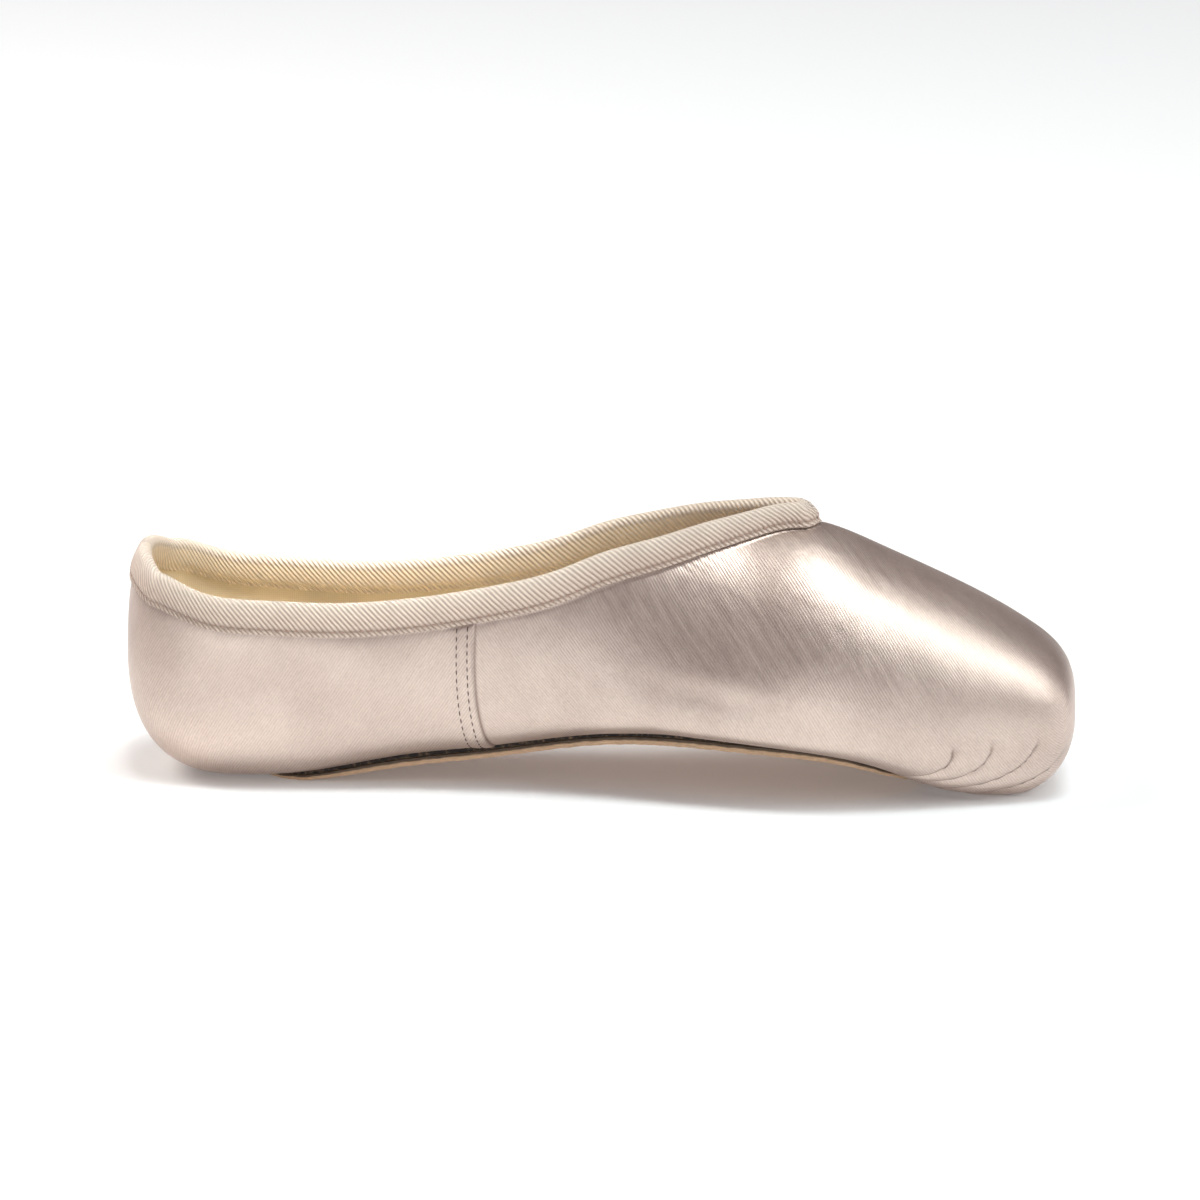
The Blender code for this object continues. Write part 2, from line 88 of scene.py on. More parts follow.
def colour(name, default, description):
    return FloatVectorProperty(
        name=name,
        description=description,
        default=default,
        size=3,
        min=0,
        max=1,
        subtype="COLOR",
    )


def number(name, default, description):
    return FloatProperty(name=name, description=description, default=default)


def angle(name, degrees, description):
    return FloatProperty(
        name=name,
        description=description,
        default=np.radians(degrees),
        subtype="ANGLE",
        unit="ROTATION",
    )


class PointeLastSizes(bpy.types.PropertyGroup):
    """Sizes of the last and of what is made on it"""

    length: distance("Length", CAD_HIGH.x - CAD_LOW.x, "Heel to toe over the satin")
    heel_width: distance("Heel width", 54.4 * MM, "Widest place of the heel")
    waist_width: distance("Waist width", 49.6 * MM, "Narrowest place of the arch")
    ball_width: distance("Ball width", 76 * MM, "Widest place of the shoe")
    platform_width: distance("Platform width", 47 * MM, "Width of the flat toe")
    throat_height: distance("Throat height", 65.4 * MM, "Satin at the throat's tip")
    platform_height: distance("Platform height", 32.5 * MM, "Height of the toe")
    heel_point: distance("Heel point", 33 * MM, "Height where the heel is longest")
    arch_rise: distance("Arch rise", 11.5 * MM, "Most that the sole lifts")
    heel_round: distance("Heel round", 28 * MM, "Length of the rounded heel")
    toe_round: distance("Toe round", 14 * MM, "Length of the rounded toe")
    toe_under: distance("Toe under", 15 * MM, "Length of the round under the toe")
    collar_rear: distance("Collar rear", 3.2 * MM, "Rear of the collar line")
    throat_tip: distance("Throat tip", 175 * MM, "Front of the collar line")
    collar_low: distance("Collar low", 40.5 * MM, "Lowest height of the line")
    lip: distance("Lip", 6.7 * MM, "Satin under the binding")
    tape: distance("Tape", 0.75 * MM, "Thickness of the binding")
    quarter_wall: distance("Quarter wall", 1.2 * MM, "Satin and lining together")
    box_wall: distance("Box wall", 3.0 * MM, "Wall of the stiffened toe")
    bottom_wall: distance("Bottom wall", 2.6 * MM, "Pleated satin underneath")
    outsole: distance("Outsole", 2.0 * MM, "Leather where it isn't skived")
    outsole_skived: distance("Skived edge", 1.1 * MM, "Leather at its two ends")
    outsole_rear: distance("Outsole rear", 33 * MM, "From the heel's back")
    outsole_front: distance("Outsole front", 204 * MM, "From the heel's back")
    outsole_heel: distance("Outsole at heel", 29 * MM, "Width of the leather")
    outsole_ball: distance("Outsole at ball", 43 * MM, "Width of the leather")
    outsole_round: distance("Outsole round", 17 * MM, "Length of its round ends")
    lasting_margin: distance("Lasting margin", 6 * MM, "Satin on the leather")
    insole: distance("Insole", 1.8 * MM, "Thickness of the sock")
    insole_rear: distance("Insole rear", 11 * MM, "From the heel's back")
    insole_front: distance("Insole front", 219 * MM, "From the heel's back")
    insole_inset: distance("Insole inset", 7.5 * MM, "Inside the last's outline")
    insole_round: distance("Insole round", 24 * MM, "Length of its round ends")
    clearance: distance("Clearance", 0.3 * MM, "Between neighbouring pieces")
    seam_top: distance("Seam at collar", 88.5 * MM, "From the heel's back")
    seam_side: distance("Seam at side", 89.5 * MM, "From the heel's back")
    seam_sole: distance("Seam at sole", 94 * MM, "From the heel's back")
    seam_lap: distance("Seam lap", 0.62 * MM, "Height of the lapped edge")


class PointeFinishes(bpy.types.PropertyGroup):
    """Colours and finishes of the materials"""

    satin: colour("Satin", (0.73, 0.61, 0.535), "Thread of the satin")
    satin_shade: colour("Satin shade", (0.49, 0.375, 0.33), "Thread seen end on")
    tape: colour("Tape", (0.78, 0.64, 0.535), "Ribs of the binding")
    # Tape inside: a lighter, warmer copy of the tape, painted bounce light from the lining
    tape_inside: colour("Tape inside", (0.97, 0.80, 0.60), "Ribs lit by painted bounce light from the lining")
    # Tape groove: painted shade between the ribs and in the sunk stitch line
    tape_groove: colour("Tape groove", (0.36, 0.24, 0.19), "Painted shade between the ribs")
    thread: colour("Thread", (0.10, 0.06, 0.05), "Stitches of the side seams")
    tape_thread: colour("Tape thread", (0.50, 0.33, 0.26), "Stitches of the tape")
    lining: colour("Lining", (0.97, 0.83, 0.60), "Canvas inside")
    sock: colour("Sock", (0.80, 0.70, 0.52), "Cloth on the insole")
    leather: colour("Leather", (0.60, 0.36, 0.20), "Face of the outsole")
    raw_edge: colour("Raw edge", (0.82, 0.55, 0.35), "Cut edge of the outsole")
    # near-black: partly glue, partly painted shade in the groove beside the sole
    paste: colour("Glue and shade", (0.012, 0.008, 0.006), "Glue and painted shade in the sole's groove")
    satin_roughness: number("Satin roughness", 0.41, "Spread of its gloss")
    satin_metallic: number("Satin lustre", 0.88, "Share of mirror-like gloss")


class PointeStage(bpy.types.PropertyGroup):
    """Camera and light"""

    elevation: angle("Elevation", 14, "How far the camera looks down")
    azimuth: angle("Azimuth", 1.5, "How far it stands towards the toe")
    roll: angle("Roll", 0.6, "Turn of the picture")
    reach: distance("Reach", 1.6, "From the camera to the shoe")
    aim_x: distance("Aim along", -0.5 * MM, "Where the picture's middle lies")
    aim_z: distance("Aim height", 44.8 * MM, "Where the picture's middle lies")
    view_width: distance("View width", 303.6 * MM, "Seen at the shoe")


# The last's tables. along is a share of the length, arch of the arch's rise, and
# stand is how much of the outsole shows below the satin. The powers are those of
# the superellipses below and above the widest level.

Section = namedtuple(
    "Section", "along half_width arch stand widest crown low_power high_power"
)
Collar = namedtuple("Collar", "along half_width height lean rise")
SoleWidth = namedtuple("SoleWidth", "along half_width")


def last_sections(s):
    heel, waist, ball, box = s.heel_width, s.waist_width, s.ball_width, s.platform_width
    point, throat, toe = s.heel_point, s.throat_height, s.platform_height
    return (
        Section(0.000, 0.490 * heel, 0.00, 0.12, point, 1.130 * throat, 2.6, 2.2),
        Section(0.060, 0.497 * heel, -0.01, 0.14, 0.97 * point, 1.090 * throat, 2.8, 2.2),
        Section(0.120, 0.500 * heel, -0.05, 0.24, 0.88 * point, 1.050 * throat, 3.0, 2.2),
        Section(0.200, 0.492 * heel, 0.03, 0.50, 0.78 * point, 1.020 * throat, 3.0, 2.1),
        Section(0.290, 0.512 * waist, 0.33, 0.85, 0.72 * point, 1.048 * throat, 2.8, 1.9),
        Section(0.390, 0.500 * waist, 0.58, 1.00, 0.67 * point, 1.120 * throat, 2.7, 1.70),
        Section(0.500, 0.550 * waist, 0.93, 1.25, 0.66 * point, 1.128 * throat, 2.7, 1.58),
        Section(0.585, 0.424 * ball, 1.00, 1.35, 0.66 * point, 1.062 * throat, 2.8, 1.55),
        Section(0.660, 0.488 * ball, 0.93, 1.40, 0.64 * point, 1.018 * throat, 2.9, 1.65),
        Section(0.729, 0.500 * ball, 0.81, 1.15, 0.61 * point, 1.003 * throat, 3.0, 1.9),
        Section(0.790, 0.478 * ball, 0.54, 0.70, 0.58 * point, 0.917 * throat, 3.0, 2.05),
        Section(0.850, 0.434 * ball, 0.12, 0.12, 0.56 * point, 0.815 * throat, 3.0, 2.2),
        Section(0.910, 0.608 * box, -0.11, 0.00, 0.56 * point, 0.708 * throat, 3.0, 2.3),
        Section(0.960, 0.523 * box, -0.11, 0.00, 0.56 * point, 1.200 * toe, 2.8, 2.4),
        Section(1.000, 0.450 * box, -0.08, 0.00, 0.56 * point, 1.000 * toe, 2.6, 2.4),
    )


# The collar's lower line. along runs from its rear to the throat's tip, lean is
# how far the lip leans in as it rises, and rise is its height as a share of lip.


def collar_line(s):
    heel, waist, low, throat = s.heel_width, s.waist_width, s.collar_low, s.throat_height
    return (
        Collar(0.000, 0.000 * heel, 1.205 * low, 0.40, 1.00),
        Collar(0.008, 0.200 * heel, 1.185 * low, 0.36, 1.00),
        Collar(0.035, 0.365 * heel, 1.128 * low, 0.25, 1.00),
        Collar(0.090, 0.455 * heel, 1.058 * low, 0.20, 1.00),
        Collar(0.180, 0.480 * heel, 1.012 * low, 0.18, 1.00),
        Collar(0.280, 0.468 * heel, 1.000 * low, 0.18, 1.00),
        Collar(0.390, 0.443 * heel, 1.032 * low, 0.15, 1.00),
        Collar(0.530, 0.453 * waist, 1.143 * low, 0.12, 1.00),
        Collar(0.600, 0.430 * waist, 1.213 * low, 0.13, 1.00),
        Collar(0.680, 0.373 * waist, 1.278 * low, 0.17, 1.00),
        Collar(0.790, 0.320 * waist, 1.398 * low, 0.24, 0.94),
        Collar(0.865, 0.242 * waist, 0.929 * throat, 0.38, 0.86),
        Collar(0.925, 0.165 * waist, 0.953 * throat, 0.50, 0.80),
        Collar(0.970, 0.115 * waist, 0.990 * throat, 0.60, 0.80),
        Collar(0.992, 0.065 * waist, 0.998 * throat, 0.70, 0.80),
        Collar(1.000, 0.000 * waist, 1.000 * throat, 0.75, 0.80),
    )


def outsole_shape(s):
    return (
        SoleWidth(0.00, 0.500 * s.outsole_heel),
        SoleWidth(0.15, 0.500 * s.outsole_heel),
        SoleWidth(0.40, 0.450 * s.outsole_heel),
        SoleWidth(0.58, 0.385 * s.outsole_ball),
        SoleWidth(0.78, 0.500 * s.outsole_ball),
        SoleWidth(0.90, 0.480 * s.outsole_ball),
        SoleWidth(1.00, 0.420 * s.outsole_ball),
    )


HEEL_ROUND_POWER = 2.6
TOE_ROUND_POWER = 4.2
TOE_UNDER_POWER = 2.0
SOLE_END_POWER = 2.2
BALL_AT_COLLAR = 0.80
BALL_AT_SIDE = 0.79
BALL_AT_SOLE = 0.86
STEP_SLANT = 0.1 * MM


# Smooth curves through the tables


def spline(knots, values):
    """A natural cubic spline through the knots, as a function of an array."""
    x = np.asarray(knots, float)
    y = np.asarray(values, float)
    h = np.diff(x)
    slope = np.diff(y) / h
    matrix = np.eye(len(x))
    right = np.zeros(len(x))
    for k in range(1, len(x) - 1):
        matrix[k, k - 1 : k + 2] = (h[k - 1], 2 * (h[k - 1] + h[k]), h[k])
        right[k] = 6 * (slope[k] - slope[k - 1])
    bend = np.linalg.solve(matrix, right)

    def at(where):
        where = np.clip(np.asarray(where, float), x[0], x[-1])
        k = np.clip(np.searchsorted(x, where, side="right") - 1, 0, len(h) - 1)
        a = (x[k + 1] - where) / h[k]
        b = 1 - a
        curve = (a**3 - a) * bend[k] + (b**3 - b) * bend[k + 1]
        return a * y[k] + b * y[k + 1] + curve * h[k] ** 2 / 6

    return at


def columns(table, length, start=0.0):
    """Each column of a table as a spline of the distance from start."""
    knots = [start + row.along * length for row in table]
    names = [name for name in table[0]._fields if name != "along"]
    return {name: spline(knots, [getattr(r, name) for r in table]) for name in names}


def end_round(distance, reach, power):
    """1 away from an end, falling to 0 at the end as a superellipse does."""
    share = np.clip(1 - distance / reach, 0, 1)
    return (1 - share**power) ** (1 / power)


def smooth(value):
    """0 to 1 with level ends."""
    share = np.clip(value, 0, 1)
    return share * share * (3 - 2 * share)


class Outline:
    """A half outline seen from above, read by its x or by its share of the length."""

    def __init__(self, half_width, rear, front):
        turn = np.linspace(0, np.pi, 1201)
        self.x = rear + (front - rear) * (1 - np.cos(turn)) / 2
        self.y = half_width(self.x)
        self.y[0] = self.y[-1] = 0
        steps = np.hypot(np.diff(self.x), np.diff(self.y))
        self.length = steps.sum()
        self.share = np.concatenate([[0], np.cumsum(steps)]) / self.length

    def share_at(self, x):
        return np.interp(x, self.x, self.share)

    def at(self, share):
        return np.interp(share, self.share, self.x), np.interp(share, self.share, self.y)


class Last:
    """The last and the outlines that are drawn on it, in +Y halves."""

    def __init__(self, s):
        self.s = s
        self.body = columns(last_sections(s), s.length)
        self.collar = columns(collar_line(s), s.throat_tip - s.collar_rear, s.collar_rear)
        sole_length = s.outsole_front - s.outsole_rear
        self.sole_width = columns(outsole_shape(s), sole_length, s.outsole_rear)
        self.side_line = Outline(self.side_half_width, 0, s.length)
        self.rim_line = Outline(self.rim_half_width, s.collar_rear, s.throat_tip)
        self.sole_line = Outline(self.sole_half_width, s.outsole_rear, s.outsole_front)
        self.sock_line = Outline(self.sock_half_width, s.insole_rear, s.insole_front)

    def ends(self, x):
        rear = end_round(x, self.s.heel_round, HEEL_ROUND_POWER)
        return rear * end_round(self.s.length - x, self.s.toe_round, TOE_ROUND_POWER)

    def ends_under(self, x):
        rear = end_round(x, self.s.heel_round, HEEL_ROUND_POWER)
        return rear * end_round(self.s.length - x, self.s.toe_under, TOE_UNDER_POWER)

    def ground(self, x):
        """Height of the outsole's underside, or of the satin where it has none."""
        return self.s.arch_rise * self.body["arch"](x)

    def bottom(self, x):
        stand = self.s.outsole + self.s.clearance
        return self.ground(x) + stand * self.body["stand"](x)

    def side_half_width(self, x):
        return np.maximum(self.body["half_width"](x) * self.ends(x), 1e-9)

    def rim_half_width(self, x):
        return np.maximum(self.collar["half_width"](x), 0)

    def sole_half_width(self, x):
        s = self.s
        rear = end_round(x - s.outsole_rear, s.outsole_round, SOLE_END_POWER)
        front = end_round(s.outsole_front - x, s.outsole_round, SOLE_END_POWER)
        return self.sole_width["half_width"](x) * rear * front

    def sock_half_width(self, x):
        s = self.s
        rear = end_round(x - s.insole_rear, s.insole_round, SOLE_END_POWER)
        front = end_round(s.insole_front - x, s.insole_round, SOLE_END_POWER)
        return (self.body["half_width"](x) - s.insole_inset) * rear * front

    def measure(self, points):
        """Under 1 inside the last, and 1 on its surface."""
        x, y, z = points.T
        widest = self.body["widest"](x)
        up = np.maximum((self.body["crown"](x) - widest) * self.ends(x), 1e-9)
        down = np.maximum((widest - self.bottom(x)) * self.ends_under(x), 1e-9)
        above = z > widest
        power = np.where(above, self.body["high_power"](x), self.body["low_power"](x))
        rise = np.abs(z - widest) / np.where(above, up, down)
        across = np.abs(y) / self.side_half_width(x)
        outside = (x <= 0) | (x >= self.s.length)
        total = np.minimum(rise, 9) ** power + np.minimum(across, 9) ** power
        return np.where(outside, 2.0, total)

    def bottom_height(self, x, y):
        """Height of the last's underside at a place inside its outline."""
        power = self.body["low_power"](x)
        across = np.clip(np.abs(y) / self.side_half_width(x), 0, 1)
        depth = (self.body["widest"](x) - self.bottom(x)) * self.ends_under(x)
        return self.body["widest"](x) - depth * (1 - across**power) ** (1 / power)

    def cast(self, origins, targets):
        """Points where rays from inside the last, towards the targets, leave it."""
        ways = targets - origins
        ways = ways / np.linalg.norm(ways, axis=1)[:, None]
        near = np.zeros(len(origins))
        far = np.full(len(origins), self.s.length)
        for _ in range(40):
            middle = (near + far) / 2
            inside = self.measure(origins + ways * middle[:, None]) < 1
            near = np.where(inside, middle, near)
            far = np.where(inside, far, middle)
        return origins + ways * near[:, None]

    def outsole_thickness(self, x):
        """Full in the middle, and skived thin towards both ends."""
        s = self.s
        nearest = np.minimum(x - s.outsole_rear, s.outsole_front - x)
        share = smooth(nearest / (2 * s.outsole_round))
        return s.outsole_skived + (s.outsole - s.outsole_skived) * share


# The cloth's grid. Lines run from the collar over the side to the outsole, one
# after another from the middle of the heel to the middle of the toe. Rows cross
# them: the lip under the tape, the side, and the bed on the outsole.

SEAM_REACH = 6 * MM
SEAM_FOOT = 0.35 * MM
LINE_COUNTS = (44, 14, 1, 10, 26, 92)
LINE_KNOTS = np.cumsum((0,) + LINE_COUNTS)
SEAM_LINE = LINE_KNOTS[2]
BALL_LINE = LINE_KNOTS[5]
LIP_ROWS = 6
SIDE_ROWS = 84
BED_ROWS = 6
TRACE_STEPS = 160
TURN_WEIGHT = 9 * MM
INNER_STEP = 3
MIRRORED = np.array([1, -1, 1])


def line_shares(last):
    """Where each line crosses the rim, the side outline and the outsole's edge."""
    s = last.s
    knots = (
        (last.rim_line, s.seam_top, BALL_AT_COLLAR * s.throat_tip),
        (last.side_line, s.seam_side, BALL_AT_SIDE * s.length),
        (last.sole_line, s.seam_sole, BALL_AT_SOLE * s.outsole_front),
    )
    lines = np.arange(LINE_KNOTS[-1] + 1)
    shares = []
    for outline, seam, ball in knots:
        near = (seam - SEAM_REACH, seam, seam + SEAM_FOOT, seam + SEAM_REACH, ball)
        places = (0, *(outline.share_at(x) for x in near), 1)
        shares.append(np.interp(lines, LINE_KNOTS, places))
    return shares


def along_lines(grid):
    """The way from each line to the next, mirrored past the middle of the shoe."""
    before = np.concatenate([grid[1:2] * MIRRORED, grid[:-1]])
    after = np.concatenate([grid[1:], grid[-2:-1] * MIRRORED])
    return after - before


def plan_outward(points):
    """Level unit vectors that point out of an outline run from rear to front."""
    way = along_lines(points)
    outward = np.column_stack([-way[:, 1], way[:, 0], 0 * way[:, 0]])
    return outward / np.linalg.norm(outward, axis=1)[:, None]


def outward_normals(grid):
    """Unit normals of a grid of lines and rows, out of the shoe."""
    normals = np.cross(along_lines(grid), np.gradient(grid, axis=1))
    normals /= np.linalg.norm(normals, axis=2)[:, :, None]
    normals[0, :, 1] = normals[-1, :, 1] = 0
    return normals / np.linalg.norm(normals, axis=2)[:, :, None]


def spread(path, rows):
    """Points spread along a path, closer together where it turns."""
    steps = np.diff(path, axis=0)
    lengths = np.linalg.norm(steps, axis=1)
    ways = steps / np.maximum(lengths, 1e-9)[:, None]
    turns = np.arccos(np.clip((ways[1:] * ways[:-1]).sum(axis=1), -1, 1))
    turns = np.concatenate([turns[:1], turns])
    place = np.concatenate([[0], np.cumsum(lengths + TURN_WEIGHT * turns)])
    wanted = np.linspace(0, place[-1], rows + 1)
    return np.column_stack([np.interp(wanted, place, axis) for axis in path.T])


def trace_lines(last):
    """Rows of points along each line, on the last, from the rim to the sole's edge."""
    rim_share, side_share, sole_share = line_shares(last)
    rim_x, rim_y = last.rim_line.at(rim_share)
    side_x, side_y = last.side_line.at(side_share)
    sole_x, sole_y = last.sole_line.at(sole_share)
    rim = np.column_stack([rim_x, rim_y, last.collar["height"](rim_x)])
    side = np.column_stack([side_x, side_y, last.body["widest"](side_x)])
    edge = np.column_stack([sole_x, sole_y, last.bottom_height(sole_x, sole_y)])
    edge += plan_outward(edge) * last.s.clearance
    centre_x = np.clip(side_x, last.s.heel_round, last.s.outsole_front)
    centre = np.column_stack([centre_x, 0 * centre_x, last.body["widest"](centre_x)])
    t = np.linspace(0, 1, TRACE_STEPS)[None, :, None]
    targets = (1 - t) * (1 - 2 * t) * rim[:, None] + 4 * t * (1 - t) * side[:, None]
    targets = targets + t * (2 * t - 1) * edge[:, None]
    centres = np.repeat(centre, TRACE_STEPS, axis=0)
    paths = last.cast(centres, targets.reshape(-1, 3)).reshape(targets.shape)
    lines = np.array([spread(path, SIDE_ROWS) for path in paths])
    lines[0, :, 1] = lines[-1, :, 1] = 0
    return lines


def lip_points(last, rim):
    """Rows from the collar's raw edge down to just above the rim line."""
    lean = last.collar["lean"](rim[:, 0])
    way = np.array([0, 0, 1]) - plan_outward(rim) * lean[:, None]
    way /= np.linalg.norm(way, axis=1)[:, None]
    shares = np.linspace(1, 0, LIP_ROWS, endpoint=False)
    rises = last.s.lip * last.collar["rise"](rim[:, 0])[:, None] * shares
    rows = rim[:, None, :] + way[:, None, :] * rises[:, :, None]
    least = rim[:, 1:2] * (1 - 0.72 * shares)
    rows[:, :, 1] = np.maximum(rows[:, :, 1], least)
    rows[0, :, 1] = rows[-1, :, 1] = 0
    return rows


def bed_points(last, edge):
    """The lasting margin that lies on the outsole, from its edge inwards."""
    inward = -plan_outward(edge)
    foot = edge + inward * STEP_SLANT
    end = edge + inward * (last.s.lasting_margin + last.s.clearance)
    end[:, 1] = np.maximum(end[:, 1], 0)
    shares = np.linspace(0, 1, BED_ROWS)[:, None]
    rows = foot[:, None] * (1 - shares) + end[:, None] * shares
    x = rows[:, :, 0]
    top = np.maximum(last.ground(x), 0) + last.outsole_thickness(x)
    rows[:, :, 2] = top + last.s.clearance
    rows[0, :, 1] = rows[-1, :, 1] = 0
    return rows


def wall_thickness(s, grid):
    """Thin at the collar and quarters, thick in the stiffened box and bottom."""
    box = np.clip((grid[:, :, 0] - s.throat_tip) / (s.length - s.throat_tip), 0, 1)
    share = (np.arange(grid.shape[1]) - LIP_ROWS) / SIDE_ROWS
    start = np.clip(share / 0.4, 0, 1)
    under = np.clip((share - 0.6) / 0.3, 0, 1)
    thickness = s.quarter_wall + (s.box_wall - s.quarter_wall) * box * start
    return thickness + (s.bottom_wall - thickness) * under


class Cloth:
    """The upper's plain faces in the +Y half, with their normals."""

    def __init__(self, last):
        side = trace_lines(last)
        lip = lip_points(last, side[:, 0])
        self.bed = bed_points(last, side[:, -1])
        plain_bed = self.bed.copy()
        low = last.bottom_height(self.bed[:, :, 0], self.bed[:, :, 1])
        plain_bed[:, :, 2] = low
        self.plain = np.concatenate([lip, side, plain_bed], axis=1)
        self.normals = outward_normals(self.plain)
        wall = wall_thickness(last.s, self.plain)
        self.inner = self.plain - self.normals * wall[:, :, None]
        up = np.array([0, 0, last.s.bottom_wall])
        self.inner[:, -BED_ROWS:] = plain_bed + up


def whole(half):
    """Lines of the whole shoe: the +Y half to the toe, then the -Y half back."""
    return np.concatenate([half, half[-2:0:-1] * MIRRORED])


def joined(far, near):
    """Values of the whole shoe, from those of the +Y half and of the -Y half."""
    return np.concatenate([far, near[-2:0:-1]])


# Relief of the cloth, in metres out of the plain last


Pleat = namedtuple("Pleat", "place depth top slant")
Crease = namedtuple("Crease", "x z end_x end_z width depth")

# place runs from the ball's line to the middle of the toe. depth and top, the
# height where the fold has faded, are in millimetres.
NEAR_PLEATS = (
    Pleat(0.02, 0.50, 6.0, 0.01),
    Pleat(0.09, 0.80, 7.5, 0.01),
    Pleat(0.16, 1.20, 9.5, 0.02),
    Pleat(0.26, 2.00, 18.5, -0.05),
    Pleat(0.42, 2.10, 18.5, -0.10),
    Pleat(0.60, 2.10, 18.5, -0.14),
    Pleat(0.73, 1.80, 14.5, -0.13),
    Pleat(0.84, 1.60, 13.0, -0.09),
    Pleat(0.94, 1.40, 12.0, -0.04),
    Pleat(1.01, 0.00, 12.0, 0.00),
)
FAR_PLEATS = (
    Pleat(0.04, 0.50, 6.0, 0.02),
    Pleat(0.12, 0.90, 8.0, 0.01),
    Pleat(0.21, 1.40, 11.0, 0.02),
    Pleat(0.32, 1.90, 15.0, 0.03),
    Pleat(0.46, 2.00, 15.5, 0.00),
    Pleat(0.60, 1.90, 15.5, -0.02),
    Pleat(0.75, 1.80, 13.5, -0.04),
    Pleat(0.88, 1.50, 12.5, -0.02),
    Pleat(1.01, 0.00, 12.0, 0.00),
)

# Soft troughs on the side, in millimetres from the heel and from the floor.
NEAR_CREASES = (
    Crease(118, 24, 150, 14, 2.6, 0.30),
    Crease(132, 33, 168, 25, 3.0, 0.25),
    Crease(58, 18, 84, 22, 2.6, 0.22),
    Crease(20, 30, 44, 26, 3.0, 0.10),
    Crease(8, 44, 22, 34, 3.0, 0.10),
)
FAR_CREASES = (
    Crease(112, 22, 146, 16, 2.8, 0.30),
    Crease(134, 34, 160, 26, 3.0, 0.25),
    Crease(54, 22, 82, 18, 2.6, 0.22),
    Crease(12, 40, 34, 32, 3.0, 0.28),
)

STITCH_ROWS = ((1.5 * MM, 1.3 * MM), (4.2 * MM, 1.5 * MM))


def row_offset(row, share):
    """How far behind the lapped edge a stitch row runs, by the share down it."""
    start, more = STITCH_ROWS[row]
    return start + more * share**3


def lap_relief(s, grid):
    """The heel quarter lies over the vamp: its turned edge and sunk stitch rows."""
    seam_x = grid[SEAM_LINE, :, 0]
    behind = seam_x[None, :] - grid[:, :, 0]
    rows = np.arange(grid.shape[1])
    share = np.clip((rows - LIP_ROWS) / SIDE_ROWS, 0, 1)[None, :]
    edge = 0.62 + 0.38 * smooth(behind / (0.8 * MM))
    fade = 1 - smooth((behind - 1.2 * MM) / (7 * MM))
    height = np.where(behind > -SEAM_FOOT / 2, s.seam_lap * edge * fade, 0)
    for row in range(len(STITCH_ROWS)):
        away = (behind - row_offset(row, share)) / (0.5 * MM)
        height = height - 0.15 * MM * np.exp(-(away**2))
    front = np.clip((-behind) / (1.5 * MM), 0, 1)
    height = height - np.where(behind < 0, 0.08 * MM * (1 - front), 0)
    near_seam = np.arange(len(grid))[:, None] <= SEAM_LINE
    height = np.where(near_seam, height, np.minimum(height, 0))
    fade_in = smooth((rows - LIP_ROWS + 1.5) / 3)
    fade_out = 1 - smooth((rows - LIP_ROWS - SIDE_ROWS + 5) / 5)
    return height * (fade_in * fade_out)[None, :]


def pleat_place(pleat, z):
    """Where a fold lies among the lines, by the height on the side."""
    height = np.clip(z / (pleat.top * MM), 0, 1)
    return pleat.place + pleat.slant * (1 - height)


def ball_share(grid):
    """0 at the ball's line and 1 at the middle of the toe, for each line."""
    return (np.arange(len(grid)) - BALL_LINE) / (len(grid) - 1 - BALL_LINE)


def pleat_relief(grid, pleats):
    """Folds of satin gathered under the toe, pressed flat where it rests."""
    share = ball_share(grid)[:, None]
    z = grid[:, :, 2]
    rise = 0.10 + 0.90 * smooth((z - 0.1 * MM) / (1.5 * MM))
    relief = np.zeros(z.shape)
    for this, after in zip(pleats, pleats[1:]):
        start, end = pleat_place(this, z), pleat_place(after, z)
        place = (share - start) / (end - start)
        inside = (place >= 0) & (place < 1)
        fold = np.where(inside, (1 - place) ** 2, 0)
        swell = np.where(inside, np.sin(np.pi * np.clip(place, 0, 1)) ** 2, 0)
        top = this.top * MM
        fade = smooth((top - z) / (0.4 * top))
        relief -= (this.depth * fold - 0.18 * this.depth * swell) * MM * rise * fade
    rows = np.arange(grid.shape[1]) - LIP_ROWS - SIDE_ROWS
    relief *= (1 - smooth((rows + 3) / 3))[None, :]
    return relief


def crease_relief(grid, creases):
    """Soft troughs at listed places."""
    x, z = grid[:, :, 0] / MM, grid[:, :, 2] / MM
    relief = np.zeros(x.shape)
    for c in creases:
        way_x, way_z = c.end_x - c.x, c.end_z - c.z
        length = np.hypot(way_x, way_z)
        along = ((x - c.x) * way_x + (z - c.z) * way_z) / length**2
        bow = 1.2 * np.sin(np.pi * np.clip(along, 0, 1))
        across = ((z - c.z) * way_x - (x - c.x) * way_z) / length + bow
        ends = smooth(along / 0.35) * smooth((1 - along) / 0.35)
        trough = np.exp(-((across / c.width) ** 2))
        ridge = np.exp(-(((across - 1.8 * c.width) / (1.3 * c.width)) ** 2))
        relief -= c.depth * ends * (trough - 0.6 * ridge)
    return relief * MM


def swell_relief(grid, phase):
    """The hand-lasted cloth's uneven hold on the last."""
    x, y, z = (grid[:, :, axis] / MM for axis in range(3))
    waves = np.sin(x / 7.1 + z / 9.7 + phase) * np.sin(z / 6.3 - x / 15.0 + 2.0 * phase)
    slow = np.sin(x / 17.0 + 1.3 * phase) * np.sin((z + y) / 11.0 + phase)
    rows = np.arange(grid.shape[1])
    inside = smooth((rows - LIP_ROWS) / 8) * smooth((LIP_ROWS + SIDE_ROWS - rows) / 6)
    return (0.05 * waves + 0.07 * slow) * MM * inside[None, :]


